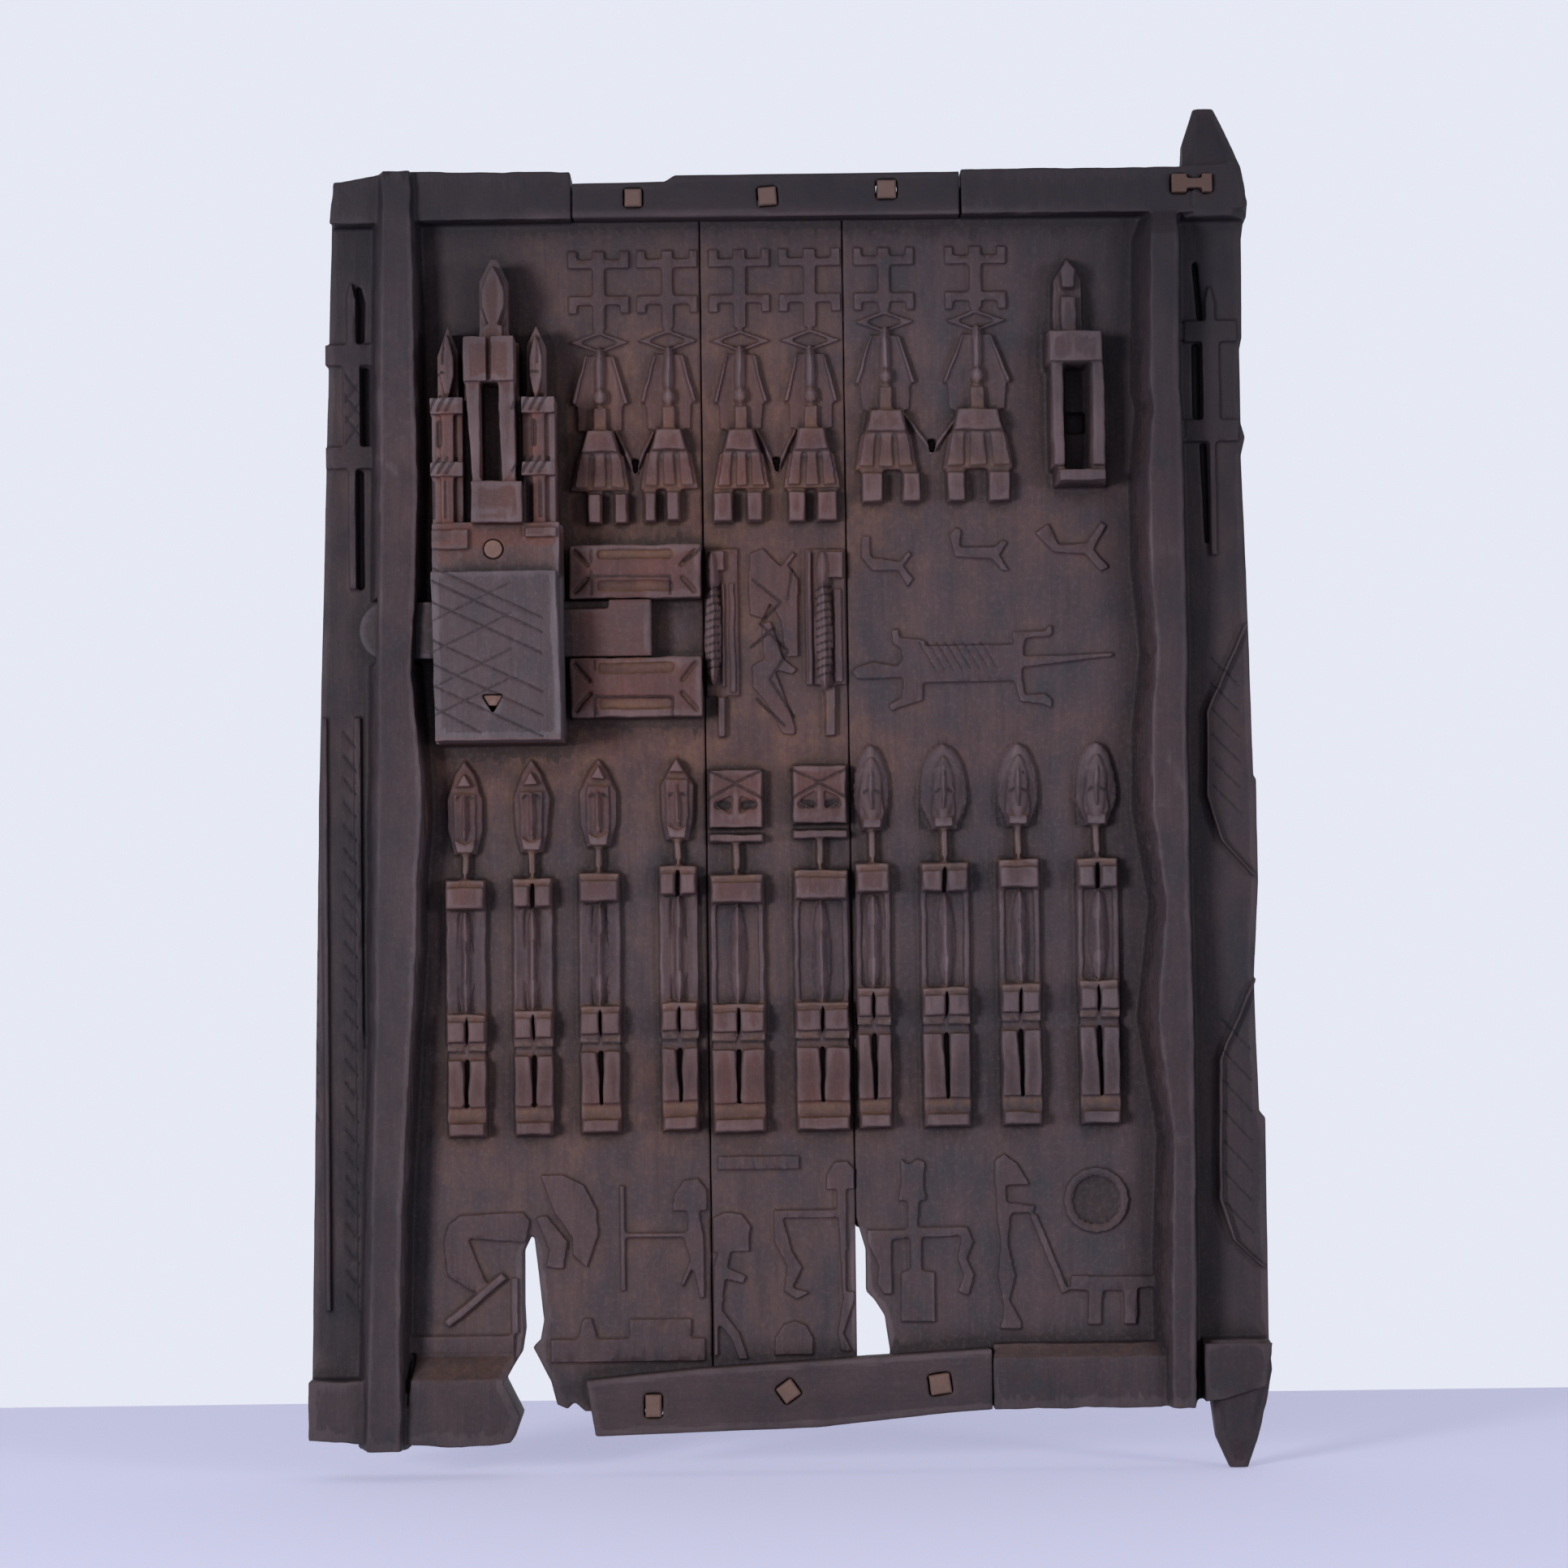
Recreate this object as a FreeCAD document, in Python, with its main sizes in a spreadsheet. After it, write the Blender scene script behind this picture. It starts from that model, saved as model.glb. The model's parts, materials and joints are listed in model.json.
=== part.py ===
import FreeCAD, Part
import math
import os
import Sketcher

# Carved wooden door of a Dogon granary: three planks side by side, held by two battens and
# wooden pegs, with a wooden lock pegged to the left plank.
#
# Millimetres. +Z is up and the front faces -Y. The origin is the tip of the bottom pivot, on
# the axis that the door turns about; that axis is Z.
#
# Each plank is drawn in a frame of its own: x is measured from a seam edge, the back of the
# door is y = 0, the wood comes forward to -y, and z is the level above the bottom pivot's tip.

SIZES = {
    # Planks
    "seam_gap": 0.2,
    "centre_plank_width": 61.2,
    "left_plank_top_width": 158.3,
    "left_plank_foot_width": 171,
    "pivot_from_seam": 159,
    "hinge_edge_from_seam": 175.2,
    "panel_thick": 17,
    "panel_foot_level": 27,
    "left_foot_level": 15.5,
    "right_foot_level": 27,
    "panel_top_level": 550,
    "top_level": 556.5,
    "relief_root": 0.5,
    # Blocks left standing at the corners, and the raised bars that run up the door
    "block_height": 20.5,
    "top_left_block_from_seam": 54.7,
    "top_left_block_width": 71,
    "top_right_block_from_seam": 50.7,
    "top_right_block_width": 89,
    "left_foot_block_from_seam": 129,
    "left_foot_block_width": 50,
    "left_foot_block_level": 42,
    "foot_block_ramp": 11,
    "right_foot_block_from_seam": 57,
    "right_foot_block_width": 71.5,
    "right_foot_block_level": 48.5,
    "ridge_front": 39,
    "ridge_root": 2,
    # Pivots
    "pivot_depth": 15,
    "pivot_tip_thick": 8,
    "pivot_base_thick": 29,
    "top_pivot_level": 582.5,
    "pivot_base_width": 30,
    "pivot_tip_width": 8,
    # Battens and the pegs that hold them
    "batten_thick": 13,
    "batten_end_gap": 0.4,
    "top_batten_level": 535.8,
    "top_batten_height": 18.7,
    "bottom_batten_level": 17.6,
    "peg_gap": 0.3,
    "peg_proud": 1.5,
    "peg_back": 0.5,
    "peg_chamfer": 0.8,
    "top_left_peg_from_seam": -27.9,
    "top_left_peg_level": 544.7,
    "top_left_peg_width": 7.5,
    "top_left_peg_height": 7.8,
    "top_left_peg_turn": 0,
    "top_middle_peg_from_seam": 29.4,
    "top_middle_peg_level": 544.7,
    "top_middle_peg_width": 8,
    "top_middle_peg_height": 8,
    "top_middle_peg_turn": 4,
    "top_right_peg_from_seam": 19.1,
    "top_right_peg_level": 547,
    "top_right_peg_width": 8.4,
    "top_right_peg_height": 8,
    "top_right_peg_turn": 0,
    "bottom_left_peg_from_seam": -25,
    "bottom_left_peg_level": 30.4,
    "bottom_left_peg_width": 7,
    "bottom_left_peg_height": 9.7,
    "bottom_left_peg_turn": 0,
    "bottom_middle_peg_from_seam": 31.8,
    "bottom_middle_peg_level": 35.8,
    "bottom_middle_peg_width": 8,
    "bottom_middle_peg_height": 8,
    "bottom_middle_peg_turn": 35,
    "bottom_right_peg_from_seam": 34.5,
    "bottom_right_peg_level": 38,
    "bottom_right_peg_width": 9,
    "bottom_right_peg_height": 8.6,
    "bottom_right_peg_turn": 8,
    # Bolt of the lock, its channel and its tumblers
    "bolt_level": 359.8,
    "bolt_height": 24.4,
    "bolt_thick": 15,
    "bolt_length": 124.5,
    "bolt_end_from_seam": 22,
    "bolt_tip_reach": 8.6,
    "bolt_back_gap": 0.3,
    "bolt_front_gap": 0.3,
    "channel_slack": 0.4,
    "tunnel_slack": 1.8,
    "bolt_rebate_length": 40,
    "bolt_rebate_start": 18.4,
    "bolt_rebate_height": 3.8,
    "bolt_rebate_depth": 5,
    "bolt_edge": 1.2,
    "socket_depth": 7.5,
    "socket_gap": 0.6,
    "keyway_length": 28,
    "keyway_height": 12,
    "keyway_depth": 10,
    "tumbler_width": 5.2,
    "tumbler_thick": 7.7,
    "tumbler_height": 30,
    "tumbler_gap": 0.4,
    "tumbler_lift": 4,
    "tumbler_left_from_seam": 79,
    "tumbler_right_from_seam": 66.5,
    "bolt_travel_shut": 35,
    # Guides of the bolt
    "guide_from_seam": 0.7,
    "guide_length": 56.3,
    "guide_front": 33,
    "upper_guide_height": 22.8,
    "lower_guide_height": 25.5,
    "guide_margin": 1.8,
    "guide_cut_length": 7,
    "guide_cut_width": 1.8,
    "guide_field_margin": 12.4,
    "guide_cut_depth": 2.2,
    # Lock case, with the figures that stand on it
    "case_from_seam": 86.3,
    "case_width": 54.8,
    "case_below_bolt": 49.2,
    "case_above_bolt": 22.2,
    "case_front": 61,
    "case_base_front": 40,
    "case_recess_front": 52,
    "case_recess_height": 21.2,
    "case_foot_front": 55,
    "case_side_front": 47,
    "case_rib_front": 50,
    "case_band_front": 52,
    "case_side_head_front": 46,
    "case_seat_front": 60,
    "case_shoulder_front": 59,
    "case_arm_front": 56,
    "case_neck_front": 48,
    "case_hollow_floor": 34,
    # Pegs of the lock
    "upper_lock_peg_x": -1.4,
    "upper_lock_peg_rise": 32,
    "upper_lock_peg_radius": 3.9,
    "lock_peg_gap": 0.25,
    "lower_lock_peg_x": -1.7,
    "lower_lock_peg_drop": 30,
    "lower_lock_hole_width": 9,
    "lower_lock_hole_height": 7.6,
    "lower_lock_peg_height": 4.6,
    "lower_lock_peg_sink": 2,
    # Repair of the crack beside the top pivot
    "repair_key_from_seam": 149.8,
    "repair_key_level": 547.7,
    "repair_key_length": 17.4,
    "repair_key_height": 8,
    "repair_key_neck": 4.2,
    "repair_key_depth": 9,
    "repair_key_proud": 2.5,
    "repair_key_gap": 0.25,
    "crack_floor": 11,
    # Heights of the carving above the panel
    "low_relief": 2.2,
    "hood_relief": 4,
    "limb_relief": 6,
    "leg_relief": 8,
    "block_relief": 10.5,
    "scoop_depth": 5,
    # The row of ten standing figures
    "row_feet_level": 143.5,
    "row_feet_height": 8,
    "row_hip_level": 183,
    "row_shoulder_level": 240,
    "row_block_height": 11.5,
    "row_split": 2.6,
    "row_shorts_height": 5.5,
    "row_bevel": 2.6,
    "row_foot_bevel": 4.5,
    "row_arm_width": 3.2,
    "row_torso_width": 8.4,
    "row_neck_width": 3.8,
    "row_cap_rise": 24,
    "row_hood_rise": 27,
    "row_slab_rise": 26.5,
    "row_head_top": 305.5,
    "row_chin_width": 8,
    "row_face_width": 10.8,
    "row_nose_width": 2.2,
    "row_slab_width": 24,
    "row_slab_height": 26,
    "row_slab_bar": 4.6,
    "row_slab_gap": 1.6,
    # The six masked dancers above the bolt
    "dancer_leg_level": 405,
    "dancer_leg_height": 14.5,
    "dancer_fringe_height": 15,
    "dancer_skirt_height": 12,
    "dancer_neck_height": 9.5,
    "dancer_neck_width": 6.6,
    "dancer_hood_height": 22.5,
    "dancer_nose_width": 2.8,
    "dancer_knob_width": 5.6,
    "dancer_knob_height": 4.4,
    "dancer_lozenge_height": 10.5,
    "dancer_cross_reach": 13.2,
    "dancer_cross_post": 5.2,
    "dancer_cross_end": 3.8,
    "dancer_cross_bar": 3.8,
    "dancer_lower_bar_level": 500.5,
    "dancer_upper_bar_level": 516.3,
    # The crocodile on each margin
    "crocodile_width": 7.4,
    "crocodile_tail_width": 3,
    "crocodile_leg_span": 23,
    "crocodile_leg_height": 9.5,
    # The large figure on the right plank
    "big_figure_from_seam": 98.8,
    "big_figure_foot_level": 418.5,
    "big_shoulder_rise": 51,
    "big_shoulder_height": 16,
    "big_head_height": 33,
    "big_head_offset": 2.6,
    "big_back_front": 25,
    "big_head_front": 31,
    "big_shoulder_front": 37,
    "big_arm_front": 34.5,
}

BAD_STATES = {"Invalid", "Error"}
V = FreeCAD.Vector

doc = FreeCAD.newDocument("DogonGranaryDoor")
sheet = doc.addObject("Spreadsheet::Sheet", "Sizes")
for row, (alias, value) in enumerate(SIZES.items(), 1):
    sheet.set("A%d" % row, alias)
    sheet.set("B%d" % row, str(value))
    sheet.setAlias("B%d" % row, alias)
doc.recompute()


def size(alias):
    return float(sheet.get(alias))


# Outlines, as closed lists of (x, z) corners

def block(x0, x1, z0, z1):
    """Upright rectangle between two sides and two levels."""
    return [(x0, z0), (x1, z0), (x1, z1), (x0, z1)]


def around(x, z, width, height, turn=0):
    """Rectangle about its centre, turned by some degrees."""
    c, s = math.cos(math.radians(turn)), math.sin(math.radians(turn))
    corners = block(-width / 2, width / 2, -height / 2, height / 2)
    return [(x + a * c - b * s, z + a * s + b * c) for a, b in corners]


def wedge(x, z0, z1, foot, top):
    """Trapezoid that stands on a foot and has a narrower or wider top."""
    return [(x - foot / 2, z0), (x + foot / 2, z0), (x + top / 2, z1), (x - top / 2, z1)]


def strip(path, width):
    """Straight band of even width from the first point of a path to the second."""
    (x0, z0), (x1, z1) = path
    far = math.hypot(x1 - x0, z1 - z0)
    a, b = -(z1 - z0) / far * width / 2, (x1 - x0) / far * width / 2
    return [(x0 - a, z0 - b), (x1 - a, z1 - b), (x1 + a, z1 + b), (x0 + a, z0 + b)]


def band(path, width):
    """Steep band of even width along a path of several points."""
    return path + [(a + width, b) for a, b in reversed(path)]


def lens(x, z0, z1, width, corners=10):
    """Long oval that comes to a point at both ends."""
    half = corners // 2
    rise = [i / half for i in range(half)]
    right = [(x + width / 2 * math.sin(math.pi * r), z0 + (z1 - z0) * r) for r in rise]
    left = [(2 * x - a, z0 + z1 - b) for a, b in right]
    return right + left


def ring(x, z, radius, corners=16):
    """Round outline with flat facets."""
    turns = [2 * math.pi * i / corners for i in range(corners)]
    return [(x + radius * math.cos(t), z + radius * math.sin(t)) for t in turns]


def shifted(outline, x, z=0):
    return [(a + x, b + z) for a, b in outline]


# Objects of the document

def new_body(name, x="0", y="0", z="0"):
    """A body whose place in the door follows three expressions on the sheet."""
    body = doc.addObject("PartDesign::Body", name)
    body.Label = name
    for axis, expression in zip("xyz", (x, y, z)):
        if expression != "0":
            body.setExpression("Placement.Base." + axis, expression)
    return body


def new_sketch(body, name, role, lift="0"):
    """An empty sketch on one of the body's own planes, moved off it by an expression."""
    sketch = body.newObject("Sketcher::SketchObject", name)
    plane = [f for f in body.Origin.OriginFeatures if f.Role == role][0]
    sketch.AttachmentSupport = [(plane, "")]
    sketch.MapMode = "FlatFace"
    if lift != "0":
        sketch.setExpression("AttachmentOffset.Base.z", lift)
    return sketch


def draw(sketch, outlines):
    """Closed outlines of straight lines."""
    for outline in outlines:
        ends = outline[1:] + outline[:1]
        lines = [Part.LineSegment(V(a[0], a[1], 0), V(b[0], b[1], 0)) for a, b in zip(outline, ends)]
        sketch.addGeometry(lines, False)


def front_sketch(body, name, outlines, lift="0"):
    """Outlines seen from the front; a lift brings the sketch forward, towards -y."""
    sketch = new_sketch(body, name, "XZ_Plane", lift)
    draw(sketch, outlines)
    return sketch


def centred_rectangle(body, name, role, width, height, lift="0"):
    """A rectangle about the sketch's origin, its two sizes tied to the sheet."""
    sketch = new_sketch(body, name, role, lift)
    draw(sketch, [block(-1, 1, -1, 1)])
    constraints = [Sketcher.Constraint("Coincident", i, 2, (i + 1) % 4, 1) for i in range(4)]
    constraints += [Sketcher.Constraint("Horizontal", i) for i in (0, 2)]
    constraints += [Sketcher.Constraint("Vertical", i) for i in (1, 3)]
    constraints.append(Sketcher.Constraint("Symmetric", 0, 1, 1, 2, -1, 1))
    sketch.addConstraint(constraints)
    for line, label, expression in ((0, "Width", width), (1, "Height", height)):
        index = sketch.addConstraint(Sketcher.Constraint("Distance", line, 2))
        sketch.renameConstraint(index, label)
        sketch.setExpression("Constraints." + label, expression)
    return sketch


def pad(body, sketch, length, taper=0, backwards=False):
    """Solid on a sketch; its length is an expression."""
    feature = body.newObject("PartDesign::Pad", sketch.Name + "_pad")
    feature.Profile = sketch
    feature.setExpression("Length", length)
    feature.TaperAngle = taper
    feature.Reversed = backwards
    return feature


def pocket(body, sketch, length=None, forwards=False):
    """Cut under a sketch: as deep as an expression says, or right through."""
    feature = body.newObject("PartDesign::Pocket", sketch.Name + "_pocket")
    feature.Profile = sketch
    feature.Reversed = forwards
    if length is None:
        feature.Type = "ThroughAll"
    else:
        feature.setExpression("Length", length)
    return feature


def loft(body, name, sections):
    """Straight-sided solid through outlines at several levels, as (level, outline) pairs."""
    sketches = []
    for number, (level, outline) in enumerate(sections):
        sketch = new_sketch(body, "%s_%d" % (name, number), "XY_Plane")
        sketch.AttachmentOffset = FreeCAD.Placement(V(0, 0, level), FreeCAD.Rotation())
        draw(sketch, [outline])
        sketches.append(sketch)
    feature = body.newObject("PartDesign::AdditiveLoft", name)
    feature.Profile = sketches[0]
    feature.Sections = sketches[1:]
    feature.Ruled = True
    return feature


def soften(body, name, base, pick, reach):
    """Chamfer the edges of a feature that a test picks."""
    doc.recompute()
    edges = ["Edge%d" % n for n, edge in enumerate(base.Shape.Edges, 1) if pick(edge)]
    feature = body.newObject("PartDesign::Chamfer", name)
    feature.Base = (base, edges)
    feature.setExpression("Size", reach)
    body.Tip = feature
    return feature


# Places of the planks across the door, as expressions on the sheet

RIGHT_SEAM = "-Sizes.pivot_from_seam"
CENTRE_SEAM = RIGHT_SEAM + " - Sizes.seam_gap - Sizes.centre_plank_width"
LEFT_SEAM = CENTRE_SEAM + " - Sizes.seam_gap"
BACK = "Sizes.pivot_depth"
PANEL_FRONT = BACK + " - Sizes.panel_thick"
ROOT = "Sizes.panel_thick - Sizes.relief_root"
BLOCK_FRONT = "Sizes.panel_thick + Sizes.batten_thick"

CENTRE_FROM_LEFT = size("seam_gap")
RIGHT_FROM_LEFT = size("centre_plank_width") + 2 * size("seam_gap")
PEGS = {
    "top_left": ("left_plank", 0),
    "top_middle": ("centre_plank", CENTRE_FROM_LEFT),
    "top_right": ("right_plank", RIGHT_FROM_LEFT),
    "bottom_left": ("left_plank", 0),
    "bottom_middle": ("centre_plank", CENTRE_FROM_LEFT),
    "bottom_right": ("right_plank", RIGHT_FROM_LEFT),
}


def peg_hole(which, across=0, down=0):
    """Outline of a batten peg's hole, in the frame of the piece that it goes through."""
    peg = {key: size("%s_peg_%s" % (which, key)) for key in ("from_seam", "level", "width", "height", "turn")}
    gap = 2 * size("peg_gap")
    return around(peg["from_seam"] + across, peg["level"] - down, peg["width"] + gap, peg["height"] + gap,
                  peg["turn"])


def plank_peg_holes(body, plank):
    holes = [peg_hole(which) for which, (owner, _) in PEGS.items() if owner == plank]
    pocket(body, front_sketch(body, plank + "_peg_holes", holes, BLOCK_FRONT))


# The carving: every motif adds its outlines to the layers of a plank

LAYERS = {
    "low": ("Sizes.low_relief", 0),
    "hood": ("Sizes.hood_relief", -6),
    "limb": ("Sizes.limb_relief", -6),
    "leg": ("Sizes.leg_relief", -6),
    "block": ("Sizes.block_relief", -8),
}


def new_carving():
    return {layer: [] for layer in LAYERS}


def carve(body, plank, carving):
    """Stand each layer of outlines on the panel at its own height."""
    for layer, (height, taper) in LAYERS.items():
        if carving[layer]:
            sketch = front_sketch(body, "%s_%s" % (plank, layer), carving[layer], ROOT)
            pad(body, sketch, height + " + Sizes.relief_root", taper)


def scoop(body, plank, outlines):
    """Sink outlines into the panel."""
    sketch = front_sketch(body, plank + "_scoops", outlines, "Sizes.panel_thick")
    pocket(body, sketch, "Sizes.scoop_depth")


def pair(x, z, width, height, split):
    """Two blocks side by side with a gap between them, or one block if there is no gap."""
    if not split:
        return [around(x, z, width, height)]
    half = (width - split) / 2
    return [around(x + side * (half + split) / 2, z, half, height) for side in (-1, 1)]


def mirrored(x, right):
    """Outline that is the same on both sides of x, from its right half going up."""
    return right + [(2 * x - a, b) for a, b in reversed(right)]


def capped_head(carving, x, head, half):
    """Pointed hood round a long face with a cup-shaped chin and a nose, under a small pointed cap."""
    chin = size("row_chin_width") / 2
    face = size("row_face_width") / 2
    nose = size("row_nose_width") / 2
    top = size("row_head_top")
    hood = mirrored(x, [(x + chin + 1.2, head), (x + half - 0.4, head + 10), (x + half, head + 24),
                        (x + half - 3.4, top - 7)])
    carving["hood"].append(hood[:4] + [(x, top)] + hood[4:])
    carving["limb"].append(mirrored(x, [(x + chin + 0.5, head + 1), (x + face, head + 11),
                                        (x + face, head + 27)]))
    carving["leg"].append([(x - chin, head + 0.4), (x + chin, head + 0.4), (x + chin + 1.6, head + 8.4),
                           (x, head + 5.4), (x - chin - 1.6, head + 8.4)])
    carving["leg"].append(block(x - nose, x + nose, head + 9, head + 25.4))
    carving["leg"].append([(x - 4.6, head + 28.6), (x + 4.6, head + 28.6), (x, head + 37)])


def hooded_head(carving, x, head, half):
    """Arched hood round a peaked face with a straight chin and a nose."""
    chin = size("row_chin_width") / 2 + 0.6
    nose = size("row_nose_width") / 2
    top = size("row_head_top") - 1
    hood = mirrored(x, [(x + half, head), (x + half, head + 11), (x + half - 3.2, top - 6.5)])
    carving["hood"].append(hood[:3] + [(x, top)] + hood[3:])
    face = mirrored(x, [(x + chin, head + 1), (x + chin + 1.4, head + 8), (x + chin + 0.8, head + 19)])
    carving["limb"].append(face[:3] + [(x, head + 26)] + face[3:])
    carving["leg"].append(block(x - chin, x + chin, head + 0.4, head + 6.2))
    carving["leg"].append(block(x - nose, x + nose, head + 8, head + 18.5))


def slab_mask(carving, x, low):
    """Square mask: a slab with two pointed eye holes beside a nose, over a bar."""
    half = size("row_slab_width") / 2
    slab = low + size("row_slab_bar") + size("row_slab_gap")
    eye = slab + 10.6
    carving["leg"].append(block(x - half, x + half, low, low + size("row_slab_bar")))
    top = slab + size("row_slab_height")
    carving["leg"].append(block(x - half, x + half, slab, top))
    for side in (-1, 1):
        carving["leg"].append([(x + side * (half - 1.1), eye), (x + side * 0.8, eye - 5.4),
                               (x + side * 0.8, eye + 5.4)])
    carving["limb"].append(block(x - half + 0.6, x + half - 0.6, slab + 0.6, top - 0.6))


def row_figure(carving, x, wide, hip_rise, rise, split, head):
    """Standing figure: a foot bar, two legs, hips, arms, torso, shoulders, neck and a head."""
    half = wide / 2
    tall = size("row_block_height")
    feet = size("row_feet_level") + rise / 3
    feet_top = feet + size("row_feet_height")
    hip = size("row_hip_level") + hip_rise
    hip_top = hip + tall
    shorts = hip - size("row_shorts_height")
    shoulder = size("row_shoulder_level") + rise
    shoulder_top = shoulder + tall
    slit = size("row_split") / 2
    bevel = size("row_bevel")
    foot_bevel = size("row_foot_bevel")
    arm = size("row_arm_width")
    torso = min(size("row_torso_width") / 2, half - arm - 1.2)
    neck = size("row_neck_width") / 2
    carving["block"] += pair(x, shoulder + tall / 2, wide, tall, split)
    carving["block"] += pair(x, hip + tall / 2, wide, tall, 2 * slit)
    carving["block"].append(block(x - half + 0.4, x + half - 0.4, feet, feet_top))
    for top in (shoulder_top, hip_top):
        carving["leg"].append(block(x - half + 0.2, x + half - 0.2, top - 1, top + bevel))
    carving["limb"].append(block(x - half + 0.4, x + half - 0.4, feet_top - 1, feet_top + foot_bevel + 1))
    for side in (-1, 1):
        outer = x + side * (half - 0.3)
        carving["leg"].append([(x + side * 0.4, feet_top + foot_bevel), (outer, feet_top + foot_bevel),
                               (outer, shorts), (x + side * slit, shorts)])
    carving["hood"].append(block(x - half + 0.8, x + half - 0.8, shorts - 1, hip + 1))
    carving["low"].append(block(x - half + 0.2, x + half - 0.2, hip_top - 1, shoulder + 1))
    for side in (-1, 1):
        carving["hood"].append(around(x + side * (half - arm / 2 - 0.3), (hip_top + shoulder) / 2, arm,
                                      shoulder - hip_top + 1))
    carving["hood"].append(mirrored(x, [(x + 0.8, hip_top + 1), (x + torso, hip_top + 15),
                                        (x + torso, hip_top + 27), (x + 1.2, shoulder - 1)]))
    carving["leg"].append(block(x - 1.3, x + 1.3, hip_top + 14, shoulder - 12))
    level = shoulder + size("row_%s_rise" % head)
    carving["limb"].append(block(x - neck, x + neck, shoulder_top - 1, level + 0.4))
    if head == "slab":
        slab_mask(carving, x, level)
    elif head == "cap":
        capped_head(carving, x, level, half - 1.2)
    else:
        hooded_head(carving, x, level, half)


def kanaga_cross(x, foot):
    """Outline of the cross on a dancer's mask: a post with two bars whose ends turn outwards."""
    reach = size("dancer_cross_reach")
    post = size("dancer_cross_post") / 2
    end = size("dancer_cross_end")
    bar = size("dancer_cross_bar")
    lower = size("dancer_lower_bar_level")
    upper = size("dancer_upper_bar_level")
    return mirrored(x, [
        (x + post, foot), (x + post, lower), (x + reach - end, lower), (x + reach - end, lower - bar),
        (x + reach, lower - bar), (x + reach, lower + bar), (x + post, lower + bar), (x + post, upper),
        (x + reach, upper), (x + reach, upper + 2 * bar), (x + reach - end, upper + 2 * bar),
        (x + reach - end, upper + bar), (x + post, upper + bar), (x + post, upper + 2 * bar)])


def dancer(carving, x, rise, foot, top, legs):
    """Masked dancer: a cross over a lozenge, a peaked hood with a nose, a skirt, a fringe and legs."""
    leg = size("dancer_leg_level") + rise
    fringe = leg + size("dancer_leg_height")
    skirt = fringe + size("dancer_fringe_height")
    skirt_top = skirt + size("dancer_skirt_height")
    hood = skirt_top + size("dancer_neck_height")
    hood_top = hood + size("dancer_hood_height")
    neck = size("dancer_neck_width") / 2
    nose = size("dancer_nose_width") / 2
    knob = size("dancer_knob_width") / 2
    knob_top = hood + size("dancer_knob_height")
    lozenge = hood_top + size("dancer_lozenge_height")
    reach = size("dancer_cross_reach")
    for x0, x1 in legs:
        carving["leg"].append(block(x0, x1, leg, fringe - 0.6))
    carving["hood"].append(wedge(x, fringe, skirt + 1, foot + 7.2, foot + 1.6))
    for step in (-1, 0, 1):
        low, high = x + step * foot * 0.42, x + step * foot * 0.34
        carving["limb"].append([(low - foot * 0.18, fringe + 1), (low + foot * 0.18, fringe + 1),
                                (high + foot * 0.14, skirt + 1), (high - foot * 0.14, skirt + 1)])
    carving["block"].append(wedge(x, skirt, skirt_top, foot, top))
    carving["low"].append(wedge(x, skirt_top - 0.6, hood + 0.6, foot, foot * 1.05))
    carving["limb"].append(block(x - neck, x + neck, skirt_top - 1, hood))
    for side in (-1, 1):
        outer = x + side * (foot / 2 + 3.2)
        inner = x + side * (foot / 2 + 0.6)
        carving["hood"].append([(outer, hood + 1), (inner, hood + 1), (x + side * 4.6, hood_top),
                                (x + side * 6.4, hood_top)])
    carving["limb"].append(block(x - nose, x + nose, knob_top + 0.6, hood_top - 1))
    carving["leg"].append(block(x - knob, x + knob, hood + 0.6, knob_top))
    carving["low"].append(wedge(x, hood + 1.2, hood_top - 0.2, foot + 1.6, 9.6))
    tall = lozenge - hood_top - 0.8
    for rim in (0, 1):
        wide, high = reach * (1 - 0.34 * rim), tall * (1 - 0.34 * rim) / 2
        middle = lozenge - tall / 2
        carving["low"].append([(x, middle - high), (x + wide, middle), (x, middle + high),
                               (x - wide, middle)])
    carving["low"].append(kanaga_cross(x, lozenge + 0.8))


def crocodile(carving, x, head, tail, front_legs, back_legs):
    """Crocodile seen from above, head up, its legs spread across the margin."""
    body = size("crocodile_width") / 2
    end = size("crocodile_tail_width") / 2
    span = size("crocodile_leg_span") / 2
    foot = size("crocodile_leg_height")
    carving["low"].append(mirrored(x, [
        (x + end, tail), (x + end, back_legs), (x + span, back_legs), (x + span, back_legs + foot),
        (x + body, back_legs + foot), (x + body, front_legs), (x + span, front_legs),
        (x + span, front_legs + foot), (x + 2, front_legs + foot), (x + 2, head - 6), (x + 0.6, head)]))


# Left plank

LEFT_RIDGE = [
    # level, left edge, right edge, and how far the front stands off the usual ridge front
    (13, -145.5, -131, -2),
    (60, -144, -131, -1),
    (112, -142.6, -129.8, 0.5),
    (160, -141, -127, 0),
    (192, -140.3, -125, -1.5),
    (225, -139.6, -122.6, 1),
    (251, -139.2, -122.3, -1),
    (280, -138.7, -119.8, 1.5),
    (301, -138.4, -120.3, -1),
    (343, -137.6, -123.8, 1),
    (385, -136.8, -121.5, 0),
    (426, -136.3, -120.5, -1),
    (459, -136, -121.3, 0.5),
    (500, -135.5, -121.8, -0.5),
    (556.5, -135, -123.2, -3),
]
RIDGE_FOOT_LEFT = 6.5
RIDGE_FOOT_RIGHT = 3


def ridge(body, name, stations, foot_left, foot_right):
    """Raised bar with evenly sloping sides, through stations measured up the door."""
    root = size("panel_thick") - size("ridge_root")
    usual = size("ridge_front")
    sections = []
    for level, left, right, off in stations:
        slope = (usual + off - root) / (usual - root)
        sections.append((level, [(left - foot_left * slope, -root), (right + foot_right * slope, -root),
                                 (right, -usual - off), (left, -usual - off)]))
    return loft(body, name, sections)


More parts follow.
